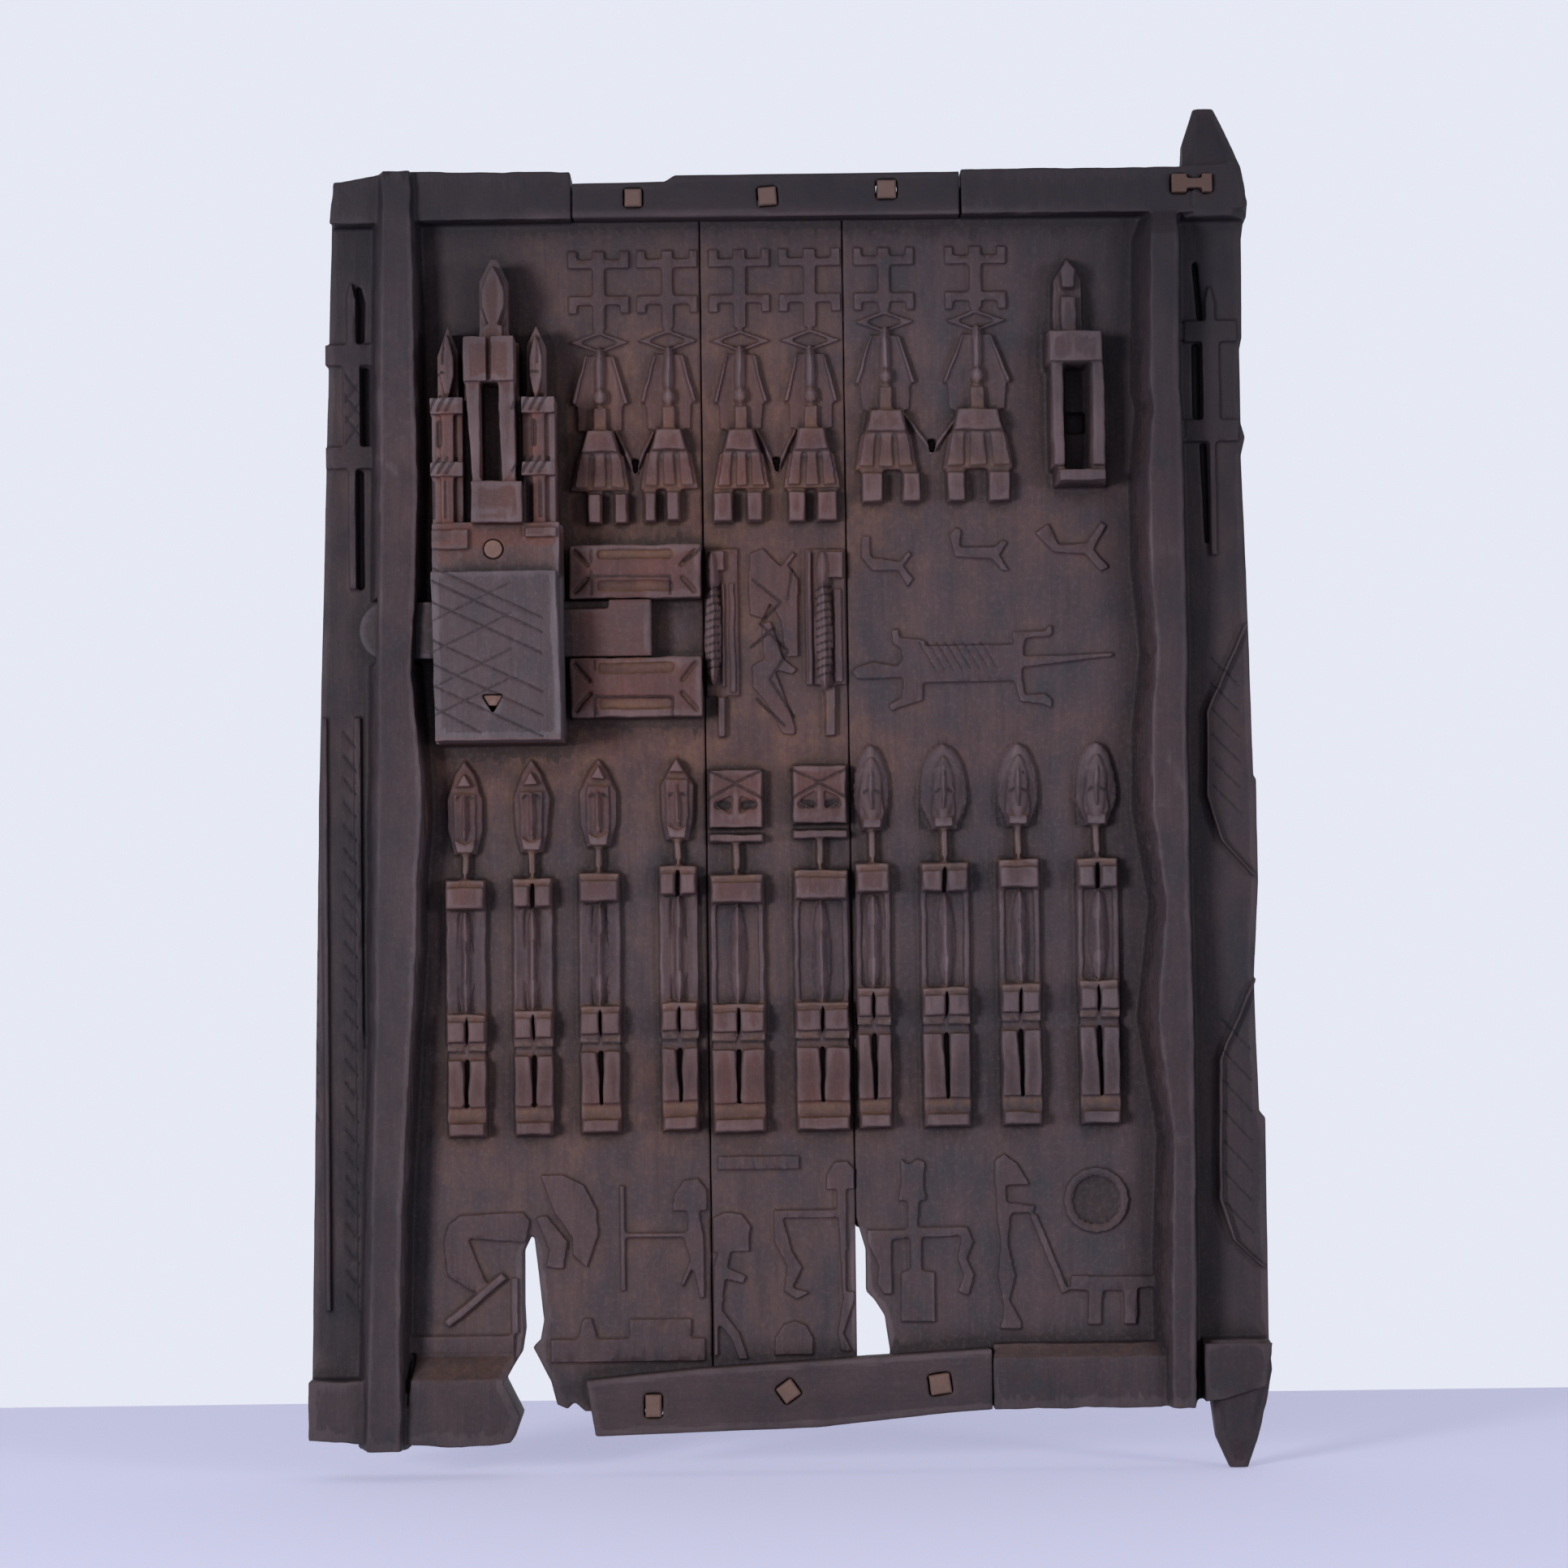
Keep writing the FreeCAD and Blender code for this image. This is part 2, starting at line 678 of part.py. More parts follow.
def left_plank_outline():
    wide_foot = -size("left_plank_foot_width")
    wide_top = -size("left_plank_top_width")
    foot = size("left_foot_level")
    panel_foot = size("panel_foot_level")
    inner = -size("top_left_block_from_seam")
    top = size("top_level")
    panel_top = size("panel_top_level")
    split = [(-59, panel_foot + 4), (-62, panel_foot + 1), (-66.5, panel_foot + 3), (-69, panel_foot + 13),
             (-76.6, 54.6), (-73.4, 57.5), (-71.8, 66), (-75.9, 103.6), (-80.1, 94.9), (-80.3, 72),
             (-79.8, 62), (-81.4, 52), (-88.3, 41), (-81, 26.4)]
    return ([(0, panel_foot), (inner, panel_foot)] + split
            + [(-85, foot), (-106, foot - 2), (-134, foot), (wide_foot, foot + 2), (wide_foot + 5, 290),
               (wide_top, top - 7), (wide_top + 2, top - 3.5), (-128.6, top + 0.8), (inner, top),
               (inner, panel_top), (0, panel_top)])


def left_plank_blocks():
    """Corner blocks that stand as high as the battens."""
    top = size("top_level")
    low = top - size("block_height")
    inner = -size("top_left_block_from_seam")
    outer = inner - size("top_left_block_width")
    edge = -size("left_plank_top_width")
    ramp = size("left_foot_block_level") + size("foot_block_ramp")
    foot = size("left_foot_level")
    return [
        [(outer + 5, low), (inner, low), (inner, top), (outer, top + 0.8)],
        [(edge, low - 1), (-134, low - 1), (-134, top), (edge + 1.7, top - 3.5)],
        [(-131, foot), (-106, foot - 2), (-85, foot), (-81, 26.4), (-88.3, 41), (-84, ramp - 5), (-84, ramp),
         (-126, ramp)],
        [(-size("left_plank_foot_width"), foot + 2), (-146, foot), (-146, 42.5),
         (-size("left_plank_foot_width") + 0.4, 42.5)],
    ]


def foot_ramp(body, name, x0, length, level):
    """Slope that runs down from the front of a foot block to the panel."""
    sketch = new_sketch(body, name, "YZ_Plane", x0)
    front = size("panel_thick") + size("batten_thick")
    rise = size("foot_block_ramp")
    draw(sketch, [[(-front - 1, level), (-front, level), (-size("panel_thick"), level + rise),
                   (-size("panel_thick"), level + rise + 2), (-front - 1, level + rise + 2)]])
    return pocket(body, sketch, length, forwards=True)


def left_carving():
    carving = new_carving()
    for x, wide, hip_rise, rise, split in ((-103, 18.5, 0, 0, 0), (-74.5, 18.5, 1.5, 0.5, 1),
                                           (-46, 19, 3, 2.5, 0), (-12.3, 17.5, 4, 5, 1)):
        row_figure(carving, x, wide, hip_rise, rise, split, "cap")
    dancer(carving, -43.6, 0, 19, 12.5, ((-49.4, -42.6), (-38, -31.4)))
    dancer(carving, -14, 0.5, 18.6, 12, ((-25.4, -19.4), (-15.6, -9)))
    crocodile(carving, -150.3, 511, 379, 475.5, 431)
    carving["hood"].append(strip([(-113, 64.5), (-88, 85.5)], 4))
    low = [
        [(-114, 99.5), (-112, 107), (-106.5, 111), (-80, 112), (-77, 108), (-79, 99), (-103.5, 101),
         (-94, 77.5), (-102.5, 79), (-112.5, 85.5)],
        [(-72.5, 127.5), (-62.5, 127.5), (-54, 123), (-48.5, 112.5), (-48, 102), (-53, 88), (-59, 93.5),
         (-59, 100.5), (-67, 112)],
        [(-74.5, 109.5), (-70, 110.5), (-61, 99), (-63, 87.5), (-70.5, 88.5), (-69, 95.5)],
        block(-85.5, -82.5, 60.5, 84),
        block(-128, -84, 52.6, 60),
        block(-69, -3, 48, 58),
        wedge(-53, 58.2, 66.5, 8.5, 4),
        block(-35.5, -9, 59, 66),
        [(-16.5, 111.5), (-15.5, 119), (-11.5, 124.5), (-5.5, 125.5), (-1.5, 120.5), (-1.5, 111.5)],
        [(-10, 111), (-5, 111), (-3, 100), (-3, 74.5), (-5, 74.5), (-8, 87.5), (-12.5, 79), (-13, 81),
         (-9, 91), (-12, 100.4), (-36, 100.4), (-36, 102.5), (-10, 102.5)],
        block(-39, -36.4, 78, 122.6),
        block(-164.3, -161.7, 71, 324),
        block(-150.4, -147.4, 71, 324),
    ]
    carving["low"] += low
    return carving


def left_scoops():
    """Grooves beside the crocodile, and the pit between two dancers."""
    return [
        block(-145.8, -142.9, 441, 474.8),
        block(-148.3, -145.7, 379, 430.4),
        [(-147.6, 485.6), (-145, 485.6), (-144.6, 503), (-146.4, 510), (-148.4, 510), (-147.2, 500)],
        [(-30.4, 434), (-26.8, 434), (-28, 427.4), (-29.2, 427.4)],
    ]


def guide_outlines():
    """Upper and lower guide of the bolt, level with its channel."""
    right = -size("guide_from_seam")
    left = right - size("guide_length")
    half = size("bolt_height") / 2 + size("channel_slack")
    up = size("bolt_level") + half
    down = size("bolt_level") - half
    return [block(left, right, up, up + size("upper_guide_height")),
            block(left, right, down - size("lower_guide_height"), down)]


def guide_cuts():
    """Slanting cuts from the corners of the guides' fronts, and two sunk strips between them."""
    right = -size("guide_from_seam")
    left = right - size("guide_length")
    edge = size("guide_margin")
    slant = size("guide_cut_length")
    field = size("guide_field_margin")
    half = size("bolt_height") / 2 + size("channel_slack")
    cuts = []
    for foot, tall in ((size("bolt_level") + half, size("upper_guide_height")),
                       (size("bolt_level") - half - size("lower_guide_height"), size("lower_guide_height"))):
        middle = foot + tall / 2
        for start, inwards in ((left + edge, slant), (right - edge, -slant)):
            for corner, meet in ((foot + 2, middle - 2), (foot + tall - 2, middle + 2)):
                cuts.append(strip([(start, corner), (start + inwards, meet)], size("guide_cut_width")))
        for low, high in ((0.14, 0.32), (0.74, 0.9)):
            cuts.append(block(left + field, right - field, foot + tall * low, foot + tall * high))
    return cuts


def bolt_tunnel(body):
    """Opening for the bolt through the raised bar at the door's edge."""
    half = size("bolt_height") / 2 + size("tunnel_slack")
    outline = block(-160, -114, size("bolt_level") - half, size("bolt_level") + half)
    sketch = front_sketch(body, "bolt_tunnel", [outline], "Sizes.panel_thick")
    pocket(body, sketch, "Sizes.bolt_back_gap + Sizes.bolt_thick + Sizes.bolt_front_gap", forwards=True)


def lock_peg_outlines(gap=0):
    """Outlines of the two holes that pin the lock case, in the case's own frame."""
    top = size("lower_lock_hole_height") / 2 + gap
    half = size("lower_lock_hole_width") / 2 + gap
    x = size("lower_lock_peg_x")
    z = -size("lower_lock_peg_drop") - size("lower_lock_hole_height") / 2
    triangle = [(x, z - top), (x + half, z + top), (x - half, z + top)]
    radius = size("upper_lock_peg_radius") + gap
    return [ring(size("upper_lock_peg_x"), size("upper_lock_peg_rise"), radius, 24), triangle]


def make_left_plank():
    body = new_body("left_plank", LEFT_SEAM, BACK)
    pad(body, front_sketch(body, "left_outline", [left_plank_outline()]), "Sizes.panel_thick")
    blocks = front_sketch(body, "left_blocks", left_plank_blocks(), ROOT)
    pad(body, blocks, "Sizes.batten_thick + Sizes.relief_root")
    foot_ramp(body, "left_foot_ramp", "-Sizes.left_foot_block_from_seam", "Sizes.left_foot_block_width",
              size("left_foot_block_level"))
    ridge(body, "left_ridge", LEFT_RIDGE, RIDGE_FOOT_LEFT, RIDGE_FOOT_RIGHT)
    guides = front_sketch(body, "guides", guide_outlines(), ROOT)
    pad(body, guides, "Sizes.guide_front - (%s)" % ROOT)
    cuts = front_sketch(body, "guide_cuts", guide_cuts(), "Sizes.guide_front")
    pocket(body, cuts, "Sizes.guide_cut_depth")
    bolt_tunnel(body)
    plank_peg_holes(body, "left_plank")
    lock_holes = [shifted(outline, -size("case_from_seam"), size("bolt_level"))
                  for outline in lock_peg_outlines(size("lock_peg_gap"))]
    pocket(body, front_sketch(body, "lock_peg_holes", lock_holes, "Sizes.panel_thick"))
    scoop(body, "left", left_scoops())
    carve(body, "left", left_carving())
    return body


# Centre plank

def centre_carving():
    carving = new_carving()
    row_figure(carving, 12.6, 24.4, 3, 1, 0, "slab")
    row_figure(carving, 48.4, 24.6, 3.5, 2.5, 0, "slab")
    dancer(carving, 16.8, 0, 18, 12.4, ((4, 13.2), (18.5, 26.3)))
    dancer(carving, 47, 0, 18, 12.6, ((36.2, 44.4), (48.4, 58.3)))
    carving["limb"] += [
        block(2, 9.6, 384, 393.6),
        block(1, 6, 338, 376),
        block(49, 60.2, 380.4, 393),
        block(48.6, 54, 336, 377),
    ]
    carving["hood"] += [
        block(7, 9.2, 334, 380),
        block(10.2, 13.6, 332, 380),
        block(5, 9, 313, 331),
        block(44, 46.8, 335, 393),
        block(55, 59.4, 336, 377),
        block(51, 56, 313, 335),
    ]
    carving["low"] += [
        [(20, 392.5), (25.5, 394.5), (29.5, 390), (33, 386.5), (38.5, 393), (39.5, 391.5), (36, 387),
         (40.5, 381), (40, 347.5), (34.5, 347.5), (33, 362.5), (28.5, 371), (25, 364), (19.5, 366),
         (19, 380)],
        [(24.5, 362), (28.5, 363), (33.5, 347), (39.5, 342), (37.5, 340), (30, 342), (38.5, 317), (38, 314),
         (33, 314.5), (25.5, 329), (20.5, 334.5), (20, 343.5), (25.5, 347)],
        [(0.6, 94.2), (0.6, 108.5), (6, 111), (13, 110), (16.5, 105), (16, 94.2)],
        [(2.5, 93.6), (8, 93.6), (6.5, 87.5), (14.5, 83.5), (13, 80.5), (5.5, 82.5), (4, 69.5), (11.5, 59.5),
         (15, 48.5), (11, 48.5), (8, 57), (2.5, 64), (2, 50), (0.4, 50), (0.6, 87.5)],
        [(49, 120), (49, 125.5), (52.5, 131.5), (58, 132), (60.8, 128.5), (60.8, 120)],
        [(53.5, 119.6), (57.5, 119.6), (57, 76.5), (60.5, 76.5), (60.5, 73), (55.5, 59), (59, 51.5),
         (54.5, 51.5), (53, 59), (55.5, 73), (54, 108), (26.5, 108), (26.5, 111.5), (53.5, 111.5)],
        [(30.5, 107.6), (34, 94), (38.5, 87), (34, 78.5), (41.5, 76.5), (36, 73.5), (30.5, 77), (32, 87.5),
         (26.5, 98), (26.5, 107.6)],
        [(26, 50), (26.5, 57.5), (30, 63), (35, 64.5), (40, 62.5), (42.5, 57), (42.5, 50)],
        block(3, 37.8, 128.8, 134.4),
        block(0.6, 14.8, 331, 394.4),
        block(43.4, 60.6, 335.4, 393.6),
    ]
    return carving


def centre_scoops():
    return [
        [(30, 434), (33.8, 434), (32.5, 427.4), (31.4, 427.4)],
    ]


def make_centre_plank():
    body = new_body("centre_plank", CENTRE_SEAM, BACK)
    outline = block(0, size("centre_plank_width"), size("panel_foot_level"), size("panel_top_level"))
    pad(body, front_sketch(body, "centre_outline", [outline]), "Sizes.panel_thick")
    plank_peg_holes(body, "centre_plank")
    scoop(body, "centre", centre_scoops())
    carve(body, "centre", centre_carving())
    return body


# Right plank, with the two pivots in one piece with it

RIGHT_RIDGE = [
    # level, left edge, right edge, and how far the front stands off the usual ridge front
    (27, 132, 141.6, -2),
    (90, 132.5, 142.5, 0),
    (141, 134.5, 143.2, -2.5),
    (191, 128.1, 143, 1.5),
    (240, 132.9, 142.8, -2.5),
    (280, 127.5, 142.5, 1.5),
    (315, 127.9, 142.3, 1),
    (347, 131, 143.6, -2),
    (385, 128.4, 143, 1),
    (418, 128.3, 142.8, 1),
    (452, 131, 142.7, -1),
    (460, 129.7, 141.8, 0.5),
    (525, 131, 143, 0),
    (538, 133, 143, -10.5),
]
RIGHT_RIDGE_FOOT_LEFT = 7

TOP_PIVOT = [
    # level below the tip, middle from the pivot axis, and share of the way from base to tip
    (49, -0.2, 0),
    (41.5, 0.9, 0.03),
    (26.5, 0.2, 0.2),
    (15.5, -1.6, 0.42),
    (0, -2.5, 0.96),
]
BOTTOM_PIVOT = [
    # level above the tip, middle from the pivot axis, and share of the way from base to tip
    (55, 1.2, 0.1),
    (41, 3.4, 0.15),
    (29, 2.7, 0.28),
    (13, 1.6, 0.55),
    (0, 2.3, 1),
]
PIVOT_CORNER = 0.24


def pivot_section(middle, share):
    """Rectangle with cut corners, between the sizes of a pivot's base and its tip."""
    wide = size("pivot_base_width") * (1 - share) + size("pivot_tip_width") * share
    deep = size("pivot_base_thick") * (1 - share) + size("pivot_tip_thick") * share
    cut = PIVOT_CORNER * min(wide, deep)
    x0, x1 = middle - wide / 2, middle + wide / 2
    y0, y1 = -size("pivot_depth") - deep / 2, -size("pivot_depth") + deep / 2
    return [(x0 + cut, y0), (x1 - cut, y0), (x1, y0 + cut), (x1, y1 - cut), (x1 - cut, y1), (x0 + cut, y1),
            (x0, y1 - cut), (x0, y0 + cut)]


def pivot(body, name, stations, tip, up):
    """Tapering pivot that ends at a level, above or below the plank."""
    sections = []
    for away, middle, share in stations:
        level = tip - away if up else tip + away
        sections.append((level, pivot_section(size("pivot_from_seam") + middle, share)))
    return loft(body, name, sections)


def right_plank_outline():
    edge = size("hinge_edge_from_seam")
    foot = size("right_foot_level")
    panel_foot = size("panel_foot_level")
    inner = size("top_right_block_from_seam")
    outer = inner + size("top_right_block_width")
    worn_edge = [(52, 0), (148, 0.3), (151, -2.3), (208, -3.5), (249, -0.8), (293, -0.9), (294, -2),
                 (367, -3.2), (432, -4.8), (440, -2.9), (446, -4.6), (478, -4.6), (483, -3.5), (526, -3),
                 (541, -0.9)]
    return ([(0, panel_foot), (size("right_foot_block_from_seam"), foot), (128.5, foot), (146, foot + 2),
             (152, foot + 3), (edge - 3, foot + 8)]
            + [(edge + off, level) for level, off in worn_edge]
            + [(edge - 6, size("top_level")), (outer, size("top_level") - 1), (inner, size("top_level")),
               (inner, size("panel_top_level")), (0, size("panel_top_level")),
               (0, 107.6), (4.1, 93.6), (4, 76.2), (7.4, 72.7), (11.8, 65.6), (14, 50), (13, 44), (0, 42)])


def right_plank_blocks():
    top = size("top_level")
    inner = size("top_right_block_from_seam")
    outer = inner + size("top_right_block_width")
    foot_inner = size("right_foot_block_from_seam")
    foot_outer = foot_inner + size("right_foot_block_width")
    ramp = size("right_foot_block_level") + size("foot_block_ramp") / 2
    return [
        block(inner, outer, top - size("block_height"), top - 1),
        [(outer + 0.6, top - size("block_height") - 1), (size("hinge_edge_from_seam") - 2, 537),
         (size("hinge_edge_from_seam") - 6, top), (outer + 0.6, top - 1)],
        block(foot_inner, foot_outer, size("right_foot_level"), ramp),
        [(146, 29), (152, 29.5), (size("hinge_edge_from_seam") - 3, 35), (size("hinge_edge_from_seam"), 53.8),
         (146, 53.8)],
    ]


BIG_FIGURE_TAPER = -4


def big_figure(body):
    """Large seated figure in high relief: a base, two arms, a shoulder block, a neck and a peaked head."""
    x = size("big_figure_from_seam")
    foot = size("big_figure_foot_level")
    shoulder = foot + size("big_shoulder_rise")
    top = shoulder + size("big_shoulder_height")
    head_top = top + size("big_head_height")
    blocks = [block(x - 9.5, x + 13.3, foot, foot + 7.6), block(x - 13, x + 12.4, shoulder, top)]
    arms = [block(x - 11.6, x - 4.4, foot + 7, shoulder + 1), block(x + 5.2, x + 13, foot + 7, shoulder + 1)]
    neck = x - size("big_head_offset")
    hood = mirrored(neck, [(neck + 7, top - 1), (neck + 6.6, head_top - 11)])
    back = [hood[:2] + [(neck, head_top)] + hood[2:]]
    face = mirrored(neck, [(neck + 3.4, top + 17), (neck + 4.2, head_top - 7)])
    head = [face[:2] + [(neck, head_top - 1.6)] + face[2:], block(neck - 4.2, neck + 4.2, top - 1, top + 15)]
    layers = {"back": back, "shoulder": blocks, "arm": arms, "head": head}
    for layer, outlines in layers.items():
        sketch = front_sketch(body, "big_" + layer, outlines, ROOT)
        pad(body, sketch, "Sizes.big_%s_front - (%s)" % (layer, ROOT), BIG_FIGURE_TAPER)
    slot = [block(x - 3.6, x + 4.4, foot + 24, foot + 33)]
    pocket(body, front_sketch(body, "big_slot", slot, "Sizes.panel_thick"), "Sizes.scoop_depth")


def right_carving():
    carving = new_carving()
    for x, wide, hip_rise, rise, split in ((9, 16, 9, 5, 0), (39.8, 22, 9, 5, 1), (71.5, 18.8, 10, 6, 0),
                                           (105, 18.8, 11, 6, 1.2)):
        row_figure(carving, x, wide, hip_rise, rise, split, "hood")
    dancer(carving, 17.6, 7.5, 20.6, 15, ((6.5, 16.4), (23.9, 32.4)))
    dancer(carving, 57, 7.5, 24, 18.4, ((43, 51.8), (60.6, 71)))
    crocodile(carving, 157.8, 505, 389, 481, 438)
    carving["low"] += [
        [(6.5, 399), (10, 399), (10.5, 390), (23, 388), (26.5, 392.5), (28, 391), (24, 386), (28.5, 380.5),
         (26, 377), (22, 384), (11, 384), (6, 390)],
        [(44, 399), (47.5, 402.5), (49.5, 401), (48.5, 394), (64, 394), (67, 397), (69, 395.5), (65.5, 390),
         (69.5, 383.5), (66.5, 383.5), (62.5, 388.5), (46.5, 389.5)],
        [(81, 399.5), (87, 403.5), (91, 394.5), (103, 395), (109.5, 404), (111.5, 402.5), (106, 392),
         (112.5, 384.5), (109, 382.5), (102.5, 390), (89, 391)],
        [(1.5, 340.5), (4, 343), (11, 345), (21.5, 343), (23.5, 346), (22.5, 350.5), (19, 353), (19, 359),
         (22, 359), (22, 355.5), (33, 354), (33.5, 351.5), (71, 351.7), (70.5, 357), (85, 357.5),
         (86, 359.5), (88, 359.5), (87.5, 355), (76, 354), (75, 346.5), (113.5, 347.5), (114, 346),
         (74.5, 341.5), (75.5, 330), (84.5, 330.5), (87.5, 327.5), (87, 324), (84, 325.5), (73.5, 327),
         (71, 336), (32, 335.5), (32, 328), (21.5, 325), (18.5, 323.5), (17, 326.5), (23, 329.5),
         (23.5, 338), (10.5, 337.5), (4, 337.5)],
        [(19.5, 132.5), (23, 130), (26.5, 132.5), (30, 131), (29, 123), (30, 114.6), (18, 114.6),
         (19.5, 123)],
        [(22, 114), (27, 114), (26.5, 103.5), (47.5, 103.5), (50, 97), (47, 90), (50, 83), (47.5, 74),
         (43, 76), (45.5, 83), (43, 90), (45, 99.5), (28, 99), (28, 85), (33.5, 84.5), (33, 63), (18.5, 63.5),
         (19, 84.5), (23, 85.5), (23, 99), (15, 98), (15, 75), (11.6, 75), (8.5, 80), (9.5, 87), (4.8, 97.5),
         (4.8, 102.5), (22, 102.5)],
        [(59, 120.5), (59.5, 131.5), (63.5, 134), (69, 130), (74.5, 120.5)],
        [(60, 120), (64, 120), (64.5, 113.5), (76.5, 112), (75.5, 108.8), (66, 108.5), (64.5, 96.5),
         (67.5, 82.5), (65, 72), (70, 62.5), (69.5, 59.5), (60.5, 60), (62.5, 68), (60, 82.5), (61.5, 96.5),
         (60, 107)],
        strip([(75.5, 108), (88.7, 75)], 3),
        [(91, 82), (127.5, 81.5), (127.5, 77), (119.5, 76.5), (119, 61), (113.5, 61), (113.5, 75.5),
         (104.5, 75.5), (104, 61), (98, 61), (98.5, 75.5), (91, 76)],
        ring(102.5, 113.9, 14),
    ]
    for points in ([(170, 359.7), (152.7, 321.8), (152, 285.4), (157.9, 266.3), (172, 250.5)],
                   [(170.5, 207.2), (155.4, 172.7), (154.4, 113.8), (159.8, 96.4), (173, 84.1)]):
        carving["hood"].append(band(points, 2.2))
    return carving


def right_scoops():
    return [
        ring(102.5, 113.9, 9.5),
        [(35.4, 441), (39.4, 441), (38, 434), (36.9, 434)],
        block(150, 153, 448, 480.6),
        [(152.8, 437.4), (155.2, 437.4), (156, 389), (154.4, 389)],
    ]


def crack(body):
    """Crack that runs down the hinge margin from the repair and forks."""
    outlines = [
        band([(149.1, 557), (149.5, 535.7), (152.8, 519)], 1.1),
        band([(150.6, 516), (152.8, 490)], 2),
        band([(157.8, 513.8), (162.6, 490.5), (168.2, 477.6)], 1),
    ]
    sketch = front_sketch(body, "crack", outlines, BLOCK_FRONT)
    pocket(body, sketch, "%s - Sizes.crack_floor" % BLOCK_FRONT)


def repair_key_outline(gap=0):
    """Dog-bone: two wide lobes joined by a narrow neck, about its own centre."""
    half = size("repair_key_length") / 2 + gap
    tall = size("repair_key_height") / 2 + gap
    neck = size("repair_key_neck") / 2 + gap
    left_lobe, right_lobe = -2.2 + gap, 4.3 - gap
    return [(-half, -tall), (left_lobe, -tall), (left_lobe, -neck), (right_lobe, -neck), (right_lobe, -tall),
            (half, -tall), (half, tall), (right_lobe, tall), (right_lobe, neck), (left_lobe, neck),
            (left_lobe, tall), (-half, tall)]


def make_right_plank():
    body = new_body("right_plank", RIGHT_SEAM, BACK)
    pad(body, front_sketch(body, "right_outline", [right_plank_outline()]), "Sizes.panel_thick")
    blocks = front_sketch(body, "right_blocks", right_plank_blocks(), ROOT)
    pad(body, blocks, "Sizes.batten_thick + Sizes.relief_root")
    foot_ramp(body, "right_foot_ramp", "Sizes.right_foot_block_from_seam - 1",
              "Sizes.right_foot_block_width + 2", size("right_foot_block_level"))
    ridge(body, "right_ridge", RIGHT_RIDGE, RIGHT_RIDGE_FOOT_LEFT, RIDGE_FOOT_RIGHT)
    pivot(body, "top_pivot", TOP_PIVOT, size("top_pivot_level"), up=True)
    pivot(body, "bottom_pivot", BOTTOM_PIVOT, 0, up=False)
    crack(body)
    seat = shifted(repair_key_outline(size("repair_key_gap")), size("repair_key_from_seam"),
                   size("repair_key_level"))
    sketch = front_sketch(body, "repair_seat", [seat], BLOCK_FRONT)
    pocket(body, sketch, "Sizes.repair_key_depth")
    plank_peg_holes(body, "right_plank")
    big_figure(body)
    scoop(body, "right", right_scoops())
    carve(body, "right", right_carving())
    return body


def make_repair_key():
    """Small dog-bone of wood let in across the crack, standing a little proud."""
    body = new_body("repair_key", RIGHT_SEAM + " + Sizes.repair_key_from_seam",
                    "%s - (%s) + Sizes.repair_key_depth" % (BACK, BLOCK_FRONT), "Sizes.repair_key_level")
    sketch = front_sketch(body, "key_outline", [repair_key_outline()])
    pad(body, sketch, "Sizes.repair_key_depth + Sizes.repair_key_proud")
    return body


# Battens

def make_batten(name, outline, holes, level):
    body = new_body(name, LEFT_SEAM, PANEL_FRONT, level)
    base = pad(body, front_sketch(body, name + "_outline", [outline]), "Sizes.batten_thick")
    pocket(body, front_sketch(body, name + "_holes", holes, "Sizes.batten_thick"))
    return base


def make_top_batten():
    left = -size("top_left_block_from_seam") + size("batten_end_gap")
    right = RIGHT_FROM_LEFT + size("top_right_block_from_seam") - size("batten_end_gap")
    tall = size("top_batten_height")
    outline = [(left, 0.4), (right, 0), (right, tall), (left + 44, tall), (left + 40, tall - 2.6),
               (left, tall - 3)]
    holes = [peg_hole(which, across, size("top_batten_level"))
             for which, (_, across) in PEGS.items() if which.startswith("top")]
    make_batten("top_batten", outline, holes, "Sizes.top_batten_level")


def make_bottom_batten():
    right = RIGHT_FROM_LEFT + size("right_foot_block_from_seam") - size("batten_end_gap")
    outline = [(-53.6, 23.6), (-49.7, 0), (44.3, 2.7), (RIGHT_FROM_LEFT + 36.8, 8), (right, 9.2), (right, 35),
               (-7.9, 27.9)]
    holes = [peg_hole(which, across, size("bottom_batten_level"))
             for which, (_, across) in PEGS.items() if which.startswith("bottom")]
    make_batten("bottom_batten", outline, holes, "Sizes.bottom_batten_level")


def make_pegs():
    """Square pegs driven through the battens into the planks."""
    seams = {"left_plank": LEFT_SEAM, "centre_plank": CENTRE_SEAM, "right_plank": RIGHT_SEAM}
    for which, (plank, _) in PEGS.items():
        cell = "Sizes.%s_peg_" % which
        body = new_body(which.replace("_", "_peg_"), "%s + %sfrom_seam" % (seams[plank], cell),
                        BACK + " - Sizes.peg_back", cell + "level")
        body.Placement.Rotation = FreeCAD.Rotation(V(0, -1, 0), size("%s_peg_turn" % which))
        sketch = centred_rectangle(body, which + "_section", "XZ_Plane", cell + "width", cell + "height")
        shaft = pad(body, sketch, "%s - Sizes.peg_back + Sizes.peg_proud" % BLOCK_FRONT)
        front = size("panel_thick") + size("batten_thick") - size("peg_back") + size("peg_proud")
        soften(body, which + "_chamfer", shaft, lambda edge: all(v.Y < 0.01 - front for v in edge.Vertexes),
               "Sizes.peg_chamfer")


# Lock

CASE_X = LEFT_SEAM + " - Sizes.case_from_seam"


def case_sketch(body, name, outlines, front):
    """Outlines of the case, padded from its seat on the panel to a front level."""
    return pad(body, front_sketch(body, name, outlines), "Sizes.%s - Sizes.panel_thick" % front)


